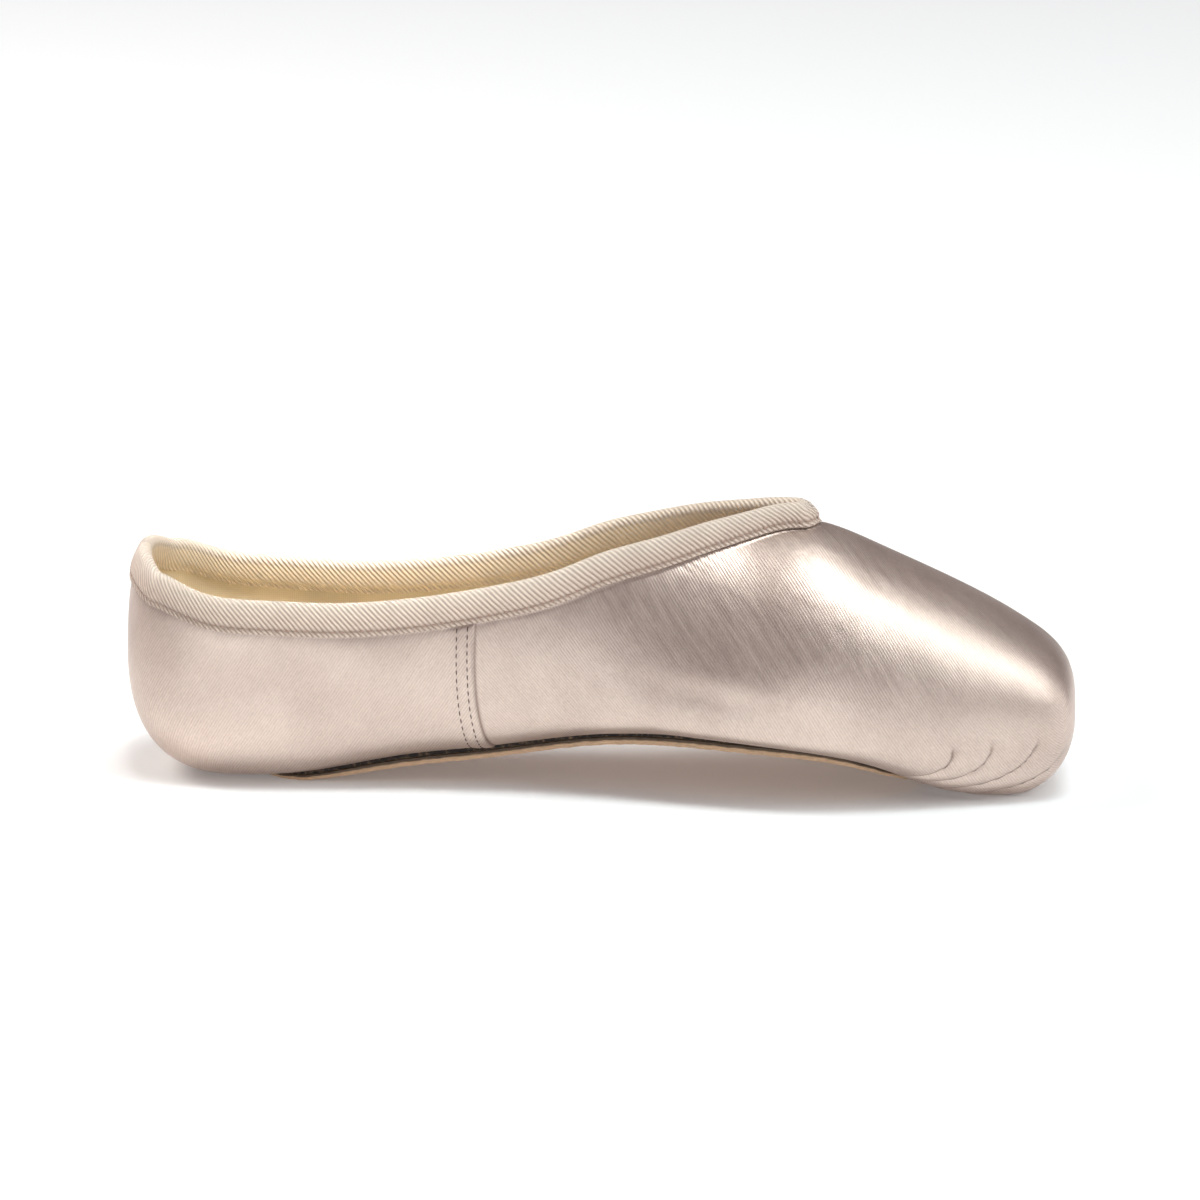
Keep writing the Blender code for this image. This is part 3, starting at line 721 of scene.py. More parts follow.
def gather_relief(grid):
    """Satin drawn in by the tape's stitches, just below it."""
    below = np.linalg.norm(grid - grid[:, LIP_ROWS : LIP_ROWS + 1], axis=2)
    rows = np.arange(grid.shape[1])
    length = np.linalg.norm(np.diff(grid[:, LIP_ROWS], axis=0), axis=1)
    place = np.concatenate([[0], np.cumsum(length)]) / (2.1 * MM)
    pull = 0.045 * np.sin(2 * np.pi * place)[:, None] * np.exp(-below / (2.6 * MM))
    dip = -0.04 * np.exp(-below / (2.6 * MM))
    started = (rows >= LIP_ROWS)[None, :]
    return np.where(started, (pull + dip) * MM, 0)


def painted_shade_map(s, grid, pleats):
    """Painted shade, from 0 to 1: in the folds, at the seam's foot, below the tape, along the sole,
    above the arch and at the heel's back.
    """
    behind = grid[SEAM_LINE, :, 0][None, :] - grid[:, :, 0]
    side_rows = np.arange(grid.shape[1]) - LIP_ROWS
    on_side = ((side_rows > 0) & (side_rows < SIDE_ROWS))[None, :]
    # painted shade at the foot of the lapped seam, stronger low down
    foot = np.exp(-(((behind + 0.45 * MM) / (0.35 * MM)) ** 2)) * on_side
    below = np.linalg.norm(grid - grid[:, LIP_ROWS : LIP_ROWS + 1], axis=2)
    # painted shade just below the tape
    hem = 0.42 * np.exp(-below / (0.6 * MM)) * on_side
    share = ball_share(grid)[:, None]
    count = len(grid) - 1 - BALL_LINE
    z = grid[:, :, 2]
    # painted shade in the valleys of the pleats under the toe
    folds = np.zeros(z.shape)
    for pleat in pleats[:-1]:
        away = (share - pleat_place(pleat, z)) * count
        width = np.where(away >= 0, 0.9, 0.5)
        fade = smooth((pleat.top * MM - z) / (0.45 * pleat.top * MM))
        folds = np.maximum(folds, min(pleat.depth, 1) * np.exp(-((away / width) ** 2)) * fade)
    low = smooth(z / (1.0 * MM)) * 0.3 + 0.7
    low_seam = smooth((36 * MM - z) / (22 * MM))
    x = grid[:, :, 0] / MM
    above_sole = np.linalg.norm(grid - grid[:, LIP_ROWS + SIDE_ROWS :][:, :1], axis=2)
    blotch = 0.5 + 0.3 * np.sin(x / 5.3 + 1.0) + 0.2 * np.sin(x / 2.9)
    arch = smooth((x - 96) / 8) * smooth((205 - x) / 40)
    # painted shade by the sole along the arch, in blotches, standing for the shadowed floor seen in
    # the satin
    shaded = 1.0 * arch * blotch * np.exp(-((above_sole / (8.0 * MM)) ** 2))
    # a thin line of painted shade in the join along the sole's edge
    line = 0.85 * np.exp(-((above_sole / (0.45 * MM)) ** 2)) * smooth((x - 60) / 20)
    # painted shade: a soft dark patch at the heel's back, about 40 mm up, standing for a dark
    # reflection
    painted_lighting = 0.34 * np.exp(-((x / 11) ** 2) - ((z / MM - 40) / 11) ** 2)
    darkened = (np.maximum(shaded, line) + painted_lighting) * on_side
    return np.clip((0.45 + 0.4 * low_seam) * foot + hem + 1.0 * folds * low + darkened, 0, 0.92)


def side_relief(s, grid, pleats, creases, phase):
    relief = lap_relief(s, grid) + pleat_relief(grid, pleats)
    relief += crease_relief(grid, creases) + swell_relief(grid, phase)
    return relief + gather_relief(grid)


# Meshes


def new_piece(name, points, faces, materials, indices=None, uv=None):
    """A smooth mesh from an array of quads, moved so that the shoe is centred."""
    s = bpy.context.scene.pointe_last
    points = np.asarray(points, float).reshape(-1, 3).copy()
    points[:, 0] -= s.length / 2
    mesh = bpy.data.meshes.new(name)
    mesh.from_pydata(points.tolist(), [], np.asarray(faces).tolist())
    for material in materials:
        mesh.materials.append(material)
    if indices is not None:
        mesh.polygons.foreach_set("material_index", np.asarray(indices, np.int32))
    if uv is not None:
        layer = mesh.uv_layers.new(name="weave")
        layer.data.foreach_set("uv", np.asarray(uv, np.float32).ravel())
    mesh.shade_smooth()
    mesh.update()
    piece = bpy.data.objects.new(name, mesh)
    bpy.context.scene.collection.objects.link(piece)
    return piece


def ring_faces(lines, around, closed_lines=True):
    """Quads of a grid that is closed around and, if wanted, along."""
    k = np.arange(lines if closed_lines else lines - 1)[:, None]
    j = np.arange(around)[None, :]
    k_after, j_after = (k + 1) % lines, (j + 1) % around
    corners = [k * around + j, k_after * around + j]
    corners += [k_after * around + j_after, k * around + j_after]
    return np.stack(np.broadcast_arrays(*corners), axis=2).reshape(-1, 4)


def placed(piece, node):
    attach(piece, BODY)
    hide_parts(node)


# Materials


def new_material(name):
    material = bpy.data.materials.new(name)
    material.use_nodes = True
    tree = material.node_tree
    return material, tree, tree.nodes["Principled BSDF"]


def add(tree, kind, values=None, **settings):
    """A node with its settings, and its sockets linked or given a value."""
    node = tree.nodes.new(kind)
    for key, value in settings.items():
        setattr(node, key, value)
    for key, value in (values or {}).items():
        if isinstance(value, bpy.types.NodeSocket):
            tree.links.new(value, node.inputs[key])
        else:
            node.inputs[key].default_value = value
    return node


def turned(tree, source, degrees, along, across):
    """Coordinates that run along and across a turned, stretched grain."""
    values = {
        "Vector": source,
        "Rotation": (0, 0, np.radians(degrees)),
        "Scale": (along, across, 1),
    }
    return add(tree, "ShaderNodeMapping", values, vector_type="TEXTURE").outputs[0]


def noise(tree, vector, scale, detail=2.0, rough=0.5, distortion=0.0):
    values = {"Vector": vector, "Scale": scale, "Detail": detail}
    values |= {"Roughness": rough, "Distortion": distortion}
    return add(tree, "ShaderNodeTexNoise", values).outputs["Fac"]


def bands(tree, vector, period, distortion=0.0, detail=1.0):
    """Ribs along the first axis, a period apart along the second."""
    values = {"Vector": vector, "Scale": np.pi / (10 * period)}
    values |= {"Distortion": distortion, "Detail": detail}
    node = add(tree, "ShaderNodeTexWave", values, bands_direction="Y")
    return node.outputs["Fac"]


def math(tree, operation, first, second):
    return add(tree, "ShaderNodeMath", {0: first, 1: second}, operation=operation).outputs[0]


def spanned(tree, value, low, high, to_low, to_high):
    values = {"Value": value, "From Min": low, "From Max": high}
    values |= {"To Min": to_low, "To Max": to_high}
    return add(tree, "ShaderNodeMapRange", values).outputs[0]


def mixed(tree, factor, first, second):
    values = {0: factor}
    for key, shade in ((6, first), (7, second)):
        values[key] = shade if isinstance(shade, bpy.types.NodeSocket) else (*shade, 1)
    return add(tree, "ShaderNodeMix", values, data_type="RGBA").outputs[2]


def bumped(tree, height, distance_mm, strength=1.0, under=None):
    values = {"Height": height, "Distance": distance_mm * MM, "Strength": strength}
    if under is not None:
        values["Normal"] = under
    return add(tree, "ShaderNodeBump", values).outputs[0]


def darker(shade, share):
    return tuple(channel * share for channel in shade)


def weave_map(tree):
    return add(tree, "ShaderNodeUVMap", uv_map="weave").outputs[0]


def object_map(tree):
    return add(tree, "ShaderNodeTexCoord").outputs["Object"]


def satin_material():
    """Shiny diagonal threads, broken into streaks, with painted shade in the folds, at the seams,
    below the tape, by the sole and at the heel's back.
    """
    f = bpy.context.scene.pointe_finishes
    material, tree, shader = new_material("satin")
    uv = weave_map(tree)
    place = object_map(tree)
    threads = bands(tree, turned(tree, uv, -57, MM, MM), 0.66, 0.5, 1.0)
    streaks = noise(tree, turned(tree, uv, -57, 2.4 * MM, 0.55 * MM), 1.0, 1.5, 0.5)
    long_streaks = noise(tree, turned(tree, uv, -57, 12 * MM, 1.4 * MM), 1.0, 2.0, 0.5)
    clouds = noise(tree, place, 48.0, 3.0, 0.55)
    grain = noise(tree, turned(tree, uv, -57, 0.8 * MM, 0.36 * MM), 1.0, 1.0, 0.5)
    streaky = math(tree, "MULTIPLY", streaks, 0.30)
    shade = math(tree, "ADD", streaky, math(tree, "MULTIPLY", grain, 0.30))
    shade = math(tree, "ADD", shade, math(tree, "MULTIPLY", threads, 0.20))
    shade = math(tree, "ADD", shade, math(tree, "MULTIPLY", clouds, 0.40))
    factor = spanned(tree, shade, 0.32, 0.78, 0.0, 1.0)
    # painted shade: the upper's point values darken the satin towards a dark brown
    painted_shade = add(tree, "ShaderNodeAttribute", attribute_name="painted_shade").outputs["Fac"]
    shades = mixed(tree, factor, f.satin_shade, f.satin)
    shades = mixed(tree, painted_shade, shades, (0.17, 0.09, 0.07))
    tree.links.new(shades, shader.inputs["Base Color"])
    low, high = f.satin_roughness - 0.03, f.satin_roughness + 0.05
    rough = spanned(tree, long_streaks, 0.3, 0.7, low, high)
    tree.links.new(rough, shader.inputs["Roughness"])
    shader.inputs["Metallic"].default_value = f.satin_metallic
    slack = noise(tree, place, 75.0, 2.0, 0.5)
    first = bumped(tree, threads, 0.020, 0.8, bumped(tree, slack, 0.8, 0.5))
    second = bumped(tree, streaks, 0.022, 0.8, first)
    third = bumped(tree, long_streaks, 0.012, 0.6, second)
    tree.links.new(third, shader.inputs["Normal"])
    return material


def lining_material():
    """Plain cotton canvas."""
    f = bpy.context.scene.pointe_finishes
    material, tree, shader = new_material("lining")
    uv = weave_map(tree)
    warp = bands(tree, turned(tree, uv, 0, MM, MM), 0.55, 0.6)
    weft = bands(tree, turned(tree, uv, 90, MM, MM), 0.55, 0.6)
    weave = math(tree, "MULTIPLY", warp, weft)
    clouds = noise(tree, object_map(tree), 70.0, 3.0)
    shade = math(tree, "ADD", math(tree, "MULTIPLY", weave, 0.35), clouds)
    factor = spanned(tree, shade, 0.35, 0.95, 0.0, 1.0)
    shades = mixed(tree, factor, darker(f.lining, 0.80), f.lining)
    tree.links.new(shades, shader.inputs["Base Color"])
    shader.inputs["Roughness"].default_value = 0.88
    tree.links.new(bumped(tree, weave, 0.10, 0.7), shader.inputs["Normal"])
    return material


def glue_and_shade_material():
    """Near-black groove beside the outsole: partly dark glue, partly painted shade over the cloth
    ends.
    """
    f = bpy.context.scene.pointe_finishes
    material, tree, shader = new_material("sole groove")
    lumps = noise(tree, object_map(tree), 900.0, 3.0, 0.6)
    factor = spanned(tree, lumps, 0.5, 0.8, 0.0, 1.0)
    shades = mixed(tree, factor, f.paste, darker(f.raw_edge, 0.35))
    tree.links.new(shades, shader.inputs["Base Color"])
    shader.inputs["Roughness"].default_value = 0.75
    tree.links.new(bumped(tree, lumps, 0.3, 0.8), shader.inputs["Normal"])
    return material


def tape_material():
    """Ribbed cotton tape, with painted shade between its ribs and in its sunk stitch line, a painted
    highlight towards its ridge, and painted bounce light from the lining on its inner side.
    """
    f = bpy.context.scene.pointe_finishes
    material, tree, shader = new_material("twill tape")
    uv = weave_map(tree)
    sunk = add(tree, "ShaderNodeAttribute", attribute_name="sunk").outputs["Fac"]
    inside = add(tree, "ShaderNodeAttribute", attribute_name="inside").outputs["Fac"]
    wander = noise(tree, object_map(tree), 90.0, 2.0)
    ribs = bands(tree, turned(tree, uv, -RIB_DEGREES, MM, MM), RIB_PITCH, 0.5)
    yarn = bands(tree, turned(tree, uv, 90 - RIB_DEGREES, MM, MM), 0.38, 1.0)
    fuzz = noise(tree, turned(tree, uv, -RIB_DEGREES, 0.9 * MM, 0.25 * MM), 1.0, 3.0, 0.6)
    strand = math(tree, "MULTIPLY", ribs, spanned(tree, yarn, 0.0, 1.0, 0.8, 1.0))
    lit = math(tree, "ADD", strand, math(tree, "MULTIPLY", fuzz, 0.5))
    factor = spanned(tree, lit, 0.15, 0.85, 0.0, 1.0)
    # painted bounce light: on the inner side, ribs and grooves take lighter, warmer copies of the
    # tape's colours
    rib_shade = mixed(tree, inside, f.tape, f.tape_inside)
    groove_shade = mixed(tree, inside, f.tape_groove, darker(f.tape_inside, 0.78))
    # painted shade: the grooves between the ribs take the darker colour
    shades = mixed(tree, factor, groove_shade, rib_shade)
    stained = spanned(tree, wander, 0.35, 0.7, 0.0, 0.22)
    shades = mixed(tree, stained, shades, groove_shade)
    # painted highlight: the outside of the tape grows lighter towards its ridge
    across = add(tree, "ShaderNodeSeparateXYZ", {"Vector": uv}).outputs["Y"]
    painted_lighting = spanned(tree, across, -5.5 * MM, -1.0 * MM, 0.0, 0.42)
    outer = math(tree, "SUBTRACT", 1.0, inside)
    shades = mixed(tree, math(tree, "MULTIPLY", painted_lighting, outer), shades, (0.93, 0.85, 0.73))
    # painted shade in the sunk stitch line, fading out on the inner side
    depth = math(tree, "SUBTRACT", 0.55, math(tree, "MULTIPLY", inside, 0.55))
    deep = math(tree, "MULTIPLY", sunk, depth)
    shades = mixed(tree, deep, shades, darker(f.tape_groove, 0.7))
    tree.links.new(shades, shader.inputs["Base Color"])
    shader.inputs["Roughness"].default_value = 0.62
    shader.inputs["Sheen Weight"].default_value = 0.15
    first = bumped(tree, ribs, 0.30, 1.0)
    tree.links.new(bumped(tree, fuzz, 0.06, 0.7, first), shader.inputs["Normal"])
    return material


def thread_material(name, shade):
    material, tree, shader = new_material(name)
    twist = noise(tree, object_map(tree), 2600.0, 2.0)
    factor = spanned(tree, twist, 0.3, 0.7, 0.0, 1.0)
    shades = mixed(tree, factor, darker(shade, 0.7), shade)
    tree.links.new(shades, shader.inputs["Base Color"])
    shader.inputs["Roughness"].default_value = 0.5
    tree.links.new(bumped(tree, twist, 0.05, 0.6), shader.inputs["Normal"])
    return material


def leather_material():
    """Smooth tan leather below, with pale rough fibres along its cut edge; the top of that edge is
    darkened, partly glue, partly painted shade.
    """
    f = bpy.context.scene.pointe_finishes
    material, tree, shader = new_material("sole leather")
    place = object_map(tree)
    edge = add(tree, "ShaderNodeAttribute", attribute_name="edge").outputs["Fac"]
    grain = noise(tree, place, 420.0, 5.0, 0.62)
    clouds = noise(tree, place, 45.0, 3.0, 0.55)
    values = {"Vector": place, "Scale": (0.35, 1.0, 3.0)}
    long = add(tree, "ShaderNodeMapping", values).outputs[0]
    fibres = noise(tree, long, 1500.0, 4.0, 0.7)
    face = mixed(tree, clouds, darker(f.leather, 0.72), f.leather)
    cut = mixed(tree, spanned(tree, fibres, 0.3, 0.7, 0, 1), darker(f.raw_edge, 0.62), f.raw_edge)
    # top of the cut edge: partly glue, partly painted shade under the satin
    darkened = add(tree, "ShaderNodeAttribute", attribute_name="darkened").outputs["Fac"]
    glued_and_shaded = mixed(tree, math(tree, "MULTIPLY", darkened, 0.85), cut, f.paste)
    tree.links.new(mixed(tree, edge, face, glued_and_shaded), shader.inputs["Base Color"])
    rough = spanned(tree, grain, 0.3, 0.7, 0.55, 0.78)
    tree.links.new(rough, shader.inputs["Roughness"])
    first = bumped(tree, grain, 0.10, 0.6)
    height = math(tree, "MULTIPLY", fibres, edge)
    tree.links.new(bumped(tree, height, 0.35, 0.9, first), shader.inputs["Normal"])
    return material


def sock_material():
    """Pale cotton over the insole, pressed a little by the foot."""
    f = bpy.context.scene.pointe_finishes
    material, tree, shader = new_material("sock cloth")
    uv = weave_map(tree)
    warp = bands(tree, turned(tree, uv, 45, MM, MM), 0.6, 0.5)
    weft = bands(tree, turned(tree, uv, -45, MM, MM), 0.6, 0.5)
    weave = math(tree, "MULTIPLY", warp, weft)
    clouds = noise(tree, object_map(tree), 40.0, 4.0)
    factor = spanned(tree, clouds, 0.3, 0.7, 0.0, 1.0)
    shades = mixed(tree, factor, darker(f.sock, 0.85), f.sock)
    tree.links.new(shades, shader.inputs["Base Color"])
    shader.inputs["Roughness"].default_value = 0.9
    tree.links.new(bumped(tree, weave, 0.12, 0.6), shader.inputs["Normal"])
    return material


def stage_material(shade):
    material, tree, shader = new_material("pale floor")
    shader.inputs["Base Color"].default_value = (*shade, 1)
    shader.inputs["Roughness"].default_value = 0.9
    shader.inputs["Specular IOR Level"].default_value = 0.1
    shader.inputs["Emission Color"].default_value = (1, 1, 1, 1)
    shader.inputs["Emission Strength"].default_value = 0.085
    return material


# The pieces

RIB_PITCH = 0.98
RIB_DEGREES = 47
SATIN_INDEX, LINING_INDEX, GLUE_AND_SHADE_INDEX = 0, 1, 2
WEAVE_RADIUS = 36 * MM
WEAVE_CENTRE = 20 * MM


def cloth_uv(s, corners, quarter):
    """Coordinates in metres along the cloth for each face's corners."""
    x, y, z = corners[..., 0], corners[..., 1], corners[..., 2]
    middle_x = corners[:, :, 0].mean(axis=1)
    around = np.arctan2(y, z - WEAVE_CENTRE)
    low = (np.abs(around) > 2.6).any(axis=1)[:, None]
    vamp_u = x
    vamp_v = np.where(low, y, WEAVE_RADIUS * around)
    edges = corners[:, 1] - corners[:, 0]
    normals = np.cross(edges, corners[:, 3] - corners[:, 0])
    normals /= np.maximum(np.linalg.norm(normals, axis=1), 1e-15)[:, None]
    front = ((np.abs(normals[:, 0]) > 0.75) & (middle_x > s.length / 2))[:, None]
    vamp_u = np.where(front, s.length - z, vamp_u)
    vamp_v = np.where(front, y, vamp_v)
    round_x = s.heel_round
    turn = np.arctan2(np.abs(y), np.maximum(round_x - x, 1e-6))
    walked = np.where(x < round_x, round_x * (turn - np.pi / 2), x - round_x)
    quarter_u = -np.sign(y.mean(axis=1))[:, None] * walked
    quarter_u = np.where(np.sign(y.mean(axis=1))[:, None] < 0, -walked, walked)
    u = np.where(quarter[:, None], quarter_u, vamp_u)
    v = np.where(quarter[:, None], z, vamp_v)
    return np.stack([u, v], axis=2)


def make_upper(last, cloth):
    s = last.s
    plain, normals = cloth.plain, cloth.normals
    far = side_relief(s, plain, FAR_PLEATS, FAR_CREASES, 0.7)
    near = side_relief(s, plain, NEAR_PLEATS, NEAR_CREASES, 2.9)
    centre_lines = (0, -1)
    for line in centre_lines:
        far[line] = near[line] = (far[line] + near[line]) / 2
    outer = whole(plain) + whole(normals) * joined(far, near)[:, :, None]
    outer[:, -BED_ROWS:] = whole(cloth.bed)
    outer[:, :, 2] = np.maximum(outer[:, :, 2], 0)
    inner = whole(cloth.inner)[:, ::-INNER_STEP]
    rings = np.concatenate([outer, inner], axis=1)
    lines, around, _ = rings.shape
    faces = ring_faces(lines, around)
    row = np.tile(np.arange(around), lines)
    line = np.repeat(np.arange(lines), around)
    rows_outside = outer.shape[1]
    indices = np.where(row < rows_outside - 1, SATIN_INDEX, LINING_INDEX)
    # groove faces beside the outsole: partly glue, partly painted shade
    groove = (row >= LIP_ROWS + SIDE_ROWS) & (row < rows_outside)
    indices = np.where(groove, GLUE_AND_SHADE_INDEX, indices)
    from_heel = np.minimum(line, lines - 1 - line)
    quarter = from_heel < SEAM_LINE + 0.5
    corners = rings.reshape(-1, 3)[faces]
    uv = cloth_uv(s, corners, quarter)
    materials = [satin_material(), lining_material(), glue_and_shade_material()]
    piece = new_piece("satin_upper", rings, faces, materials, indices, uv)
    # painted shade of both halves, kept on the outer rows for the satin
    shade = joined(painted_shade_map(s, plain, FAR_PLEATS), painted_shade_map(s, plain, NEAR_PLEATS))
    painted_shade = np.zeros((lines, around), np.float32)
    painted_shade[:, :rows_outside] = shade
    layer = piece.data.attributes.new("painted_shade", "FLOAT", "POINT")
    layer.data.foreach_set("value", painted_shade.reshape(-1))
    placed(piece, "upper")


TAPE_LINES = 900
TAPE_STITCH = 1.3 * MM


class Tape:
    """The lip's frames, resampled evenly round the collar."""

    def __init__(self, last, cloth):
        s = last.s
        top = whole(cloth.plain[:, :1])[:, 0]
        low = whole(cloth.plain[:, LIP_ROWS : LIP_ROWS + 1])[:, 0]
        top_out = whole(cloth.normals[:, :1])[:, 0]
        low_out = whole(cloth.normals[:, LIP_ROWS : LIP_ROWS + 1])[:, 0]
        middle = (top + low) / 2
        loop = np.concatenate([middle, middle[:1]])
        length = np.concatenate([[0], np.cumsum(np.linalg.norm(np.diff(loop, axis=0), axis=1))])
        self.arc = np.linspace(0, length[-1], TAPE_LINES, endpoint=False)

        def even(rows):
            rows = np.concatenate([rows, rows[:1]])
            return np.column_stack([np.interp(self.arc, length, axis) for axis in rows.T])

        self.top, self.low = even(top), even(low)
        self.top_out, self.low_out = even(top_out), even(low_out)
        way = self.top - self.low
        self.height = np.linalg.norm(way, axis=1)
        self.way = way / self.height[:, None]
        self.middle = s.quarter_wall / 2

    def place(self, down, out, rise=0.0):
        """Points at a share down from the ridge and a distance out of the wall."""
        outward = self.top_out * (1 - down) + self.low_out * down
        outward /= np.linalg.norm(outward, axis=1)[:, None]
        point = self.top * (1 - down) + self.low * down
        point = point + self.way * np.asarray(rise).reshape(-1, 1)
        return point + outward * (np.asarray(out) - self.middle).reshape(-1, 1)

    def across(self, down, side, turn=0.0):
        """Distance across the tape from its ridge, over the outside."""
        return side * (down * self.height + turn)


def make_tape(last, cloth):
    s = last.s
    tape = Tape(last, cloth)
    near = s.quarter_wall / 2 + s.clearance
    far = near + s.tape
    ring, sunk_rows, inside_rows, across_all = [], [], [], []

    def add_row(down, side, angle=None, inner=False):
        radius = near if inner else far
        turn = 0.0 if angle is None else radius * (np.pi / 2 - min(angle, np.pi - angle))
        across = tape.across(down, side, turn if angle is not None else radius * np.pi / 2)
        share = down if angle is None else 0.0
        puff = 0.0 if inner else 0.42 * MM * np.sin(np.pi * np.clip(share * 0.85 + 0.15, 0, 1))
        sunk = np.zeros(len(tape.arc))
        # sunk marks the tape's stitch line, pressed in and also darkened there with painted shade
        if angle is None and not inner:
            above_hem = (1 - share) * tape.height
            sunk = np.exp(-(((above_hem - TAPE_STITCH) / (0.34 * MM)) ** 2))
            hem = smooth((above_hem - 0.6 * MM) / (1.6 * MM))
            puff = puff * hem - 0.16 * MM * sunk - 0.25 * MM * (1 - hem)
        reach = radius + puff
        if angle is None:
            ring.append(tape.place(down, side * reach))
        else:
            ring.append(tape.place(down, reach * np.cos(angle), reach * np.sin(angle)))
        sunk_rows.append(sunk)
        # how much painted bounce light from the lining each row takes
        inside = 0.0 if side > 0 else smooth(share / 0.15 + 0.4)
        inside_rows.append(np.full(len(tape.arc), inside))
        across_all.append(across)

    shares = np.linspace(0, 1, 17)[1:]
    for share in shares[::-1]:
        add_row(share, 1)
    for angle in np.radians(np.linspace(0, 180, 15)):
        add_row(0.0, 1 if angle < np.pi / 2 else -1, angle)
    for share in shares[::1]:
        add_row(share, -1)
    hidden = np.linspace(0, 1, 4)[1:]
    for share in hidden[::-1]:
        add_row(share, -1, None, True)
    for angle in np.radians(np.linspace(180, 0, 7)):
        add_row(0.0, 1 if angle < np.pi / 2 else -1, angle, True)
    for share in hidden:
        add_row(share, 1, None, True)
    rings = np.stack(ring[::-1], axis=1)
    across = np.stack(across_all[::-1], axis=1)
    lines, around, _ = rings.shape
    faces = ring_faces(lines, around)
    arc = np.repeat(tape.arc[:, None], around, axis=1)
    coordinates = np.stack([-arc, -across], axis=2).reshape(-1, 2)
    piece = new_piece(
        "binding_tape", rings, faces, [tape_material()], None, coordinates[faces]
    )
    for name, rows in (("sunk", sunk_rows), ("inside", inside_rows)):
        values = np.stack(rows[::-1], axis=1).reshape(-1).astype(np.float32)
        piece.data.attributes.new(name, "FLOAT", "POINT").data.foreach_set("value", values)
    placed(piece, "binding")
    return tape


def plate_piece(name, last, outline, spine, low, top, materials, bevel, rough):
    """A curved plate with rounded edges, over an outline seen from above."""
    lines = 220
    x, y = outline.at(np.linspace(0, 1, lines))
    middle_x = np.clip(x, *spine)
    shares = 1 - np.linspace(1, 0, 15) ** 1.6
    reach = np.hypot(x - middle_x, y)
    inset = np.minimum(bevel / np.maximum(reach, 1e-6), 1)
    edge_turns = np.radians(np.linspace(90, -90, 9))
    rows, on_edge, darkened_rows = [], [], []

    def add_row(share, raise_share, edge):
        grid_x = middle_x + (x - middle_x) * share
        grid_y = y * share
        bottom, roof = low(grid_x, grid_y), top(grid_x, grid_y)
        rows.append(np.column_stack([grid_x, grid_y, bottom + (roof - bottom) * raise_share]))
        on_edge.append(edge)
        # rows high on the cut edge, darkened later: partly glue, partly painted shade
        darkened_rows.append(float(raise_share > 0.62))

    for share in shares[:-1]:
        add_row(share * (1 - inset), 1.0, 0.0)
    for turn in edge_turns:
        add_row(1 - inset * (1 - np.cos(turn)), 0.5 + 0.5 * np.sin(turn), 1.0)
    for share in shares[-2::-1]:
        add_row(share * (1 - inset), 0.0, 0.0)
    half = np.stack(rows, axis=1)
    section = whole(half)
    edge = np.array(on_edge)
    k = np.arange(len(section))[:, None]
    wave = np.sin(k * 0.83 + 1.0) + np.sin(k * 2.17 + 0.4) + np.sin(k * 5.31)
    section[:, :, 2] += rough * wave * edge[None, :] * 0.3
    section[:, :, 2] = np.maximum(section[:, :, 2], 0)
    lines, count, _ = section.shape
    around = np.arange(lines)[:, None]
    j = np.arange(count - 1)[None, :]
    after = (around + 1) % lines
    corners = [around * count + j, after * count + j, after * count + j + 1, around * count + j + 1]
    faces = np.stack(np.broadcast_arrays(*corners), axis=2).reshape(-1, 4)
    points = section.reshape(-1, 3)
    uv = points[faces][:, :, :2]
    piece = new_piece(name, points, faces, materials, None, uv)
    for name, row_values in (("edge", on_edge), ("darkened", darkened_rows)):
        values = np.tile(np.array(row_values, np.float32), lines)
        piece.data.attributes.new(name, "FLOAT", "POINT").data.foreach_set("value", values)
    weld = piece.modifiers.new("weld", "WELD")
    weld.merge_threshold = 0.005 * MM
    return piece


def made_plain(piece):
    """The piece with its modifiers applied to its mesh."""
    graph = bpy.context.evaluated_depsgraph_get()
    mesh = bpy.data.meshes.new_from_object(piece.evaluated_get(graph))
    old = piece.data
    piece.modifiers.clear()
    piece.data = mesh
    bpy.data.meshes.remove(old)
    return piece


def make_outsole(last):
    s = last.s

    def low(x, y):
        return np.maximum(last.ground(x), 0)

    def top(x, y):
        return low(x, y) + last.outsole_thickness(x)

    spine = (s.outsole_rear + s.outsole_round, s.outsole_front - s.outsole_round)
    materials = [leather_material()]
    piece = plate_piece(
        "leather_outsole", last, last.sole_line, spine, low, top, materials, 0.3 * MM, 0.12 * MM
    )
    made_plain(piece)
    placed(piece, "outsole")


def make_sock(last):
    s = last.s
    under = s.bottom_wall + 0.8 * MM

    def low(x, y):
        return last.bottom_height(x, y) + under

    def top(x, y):
        return low(x, y) + s.insole

    spine = (s.insole_rear + s.insole_round, s.insole_front - s.insole_round)
    materials = [sock_material()]
    piece = plate_piece(
        "sock", last, last.sock_line, spine, low, top, materials, 0.5 * MM, 0.0
    )
    made_plain(piece)
    placed(piece, "insole")


# Stitches


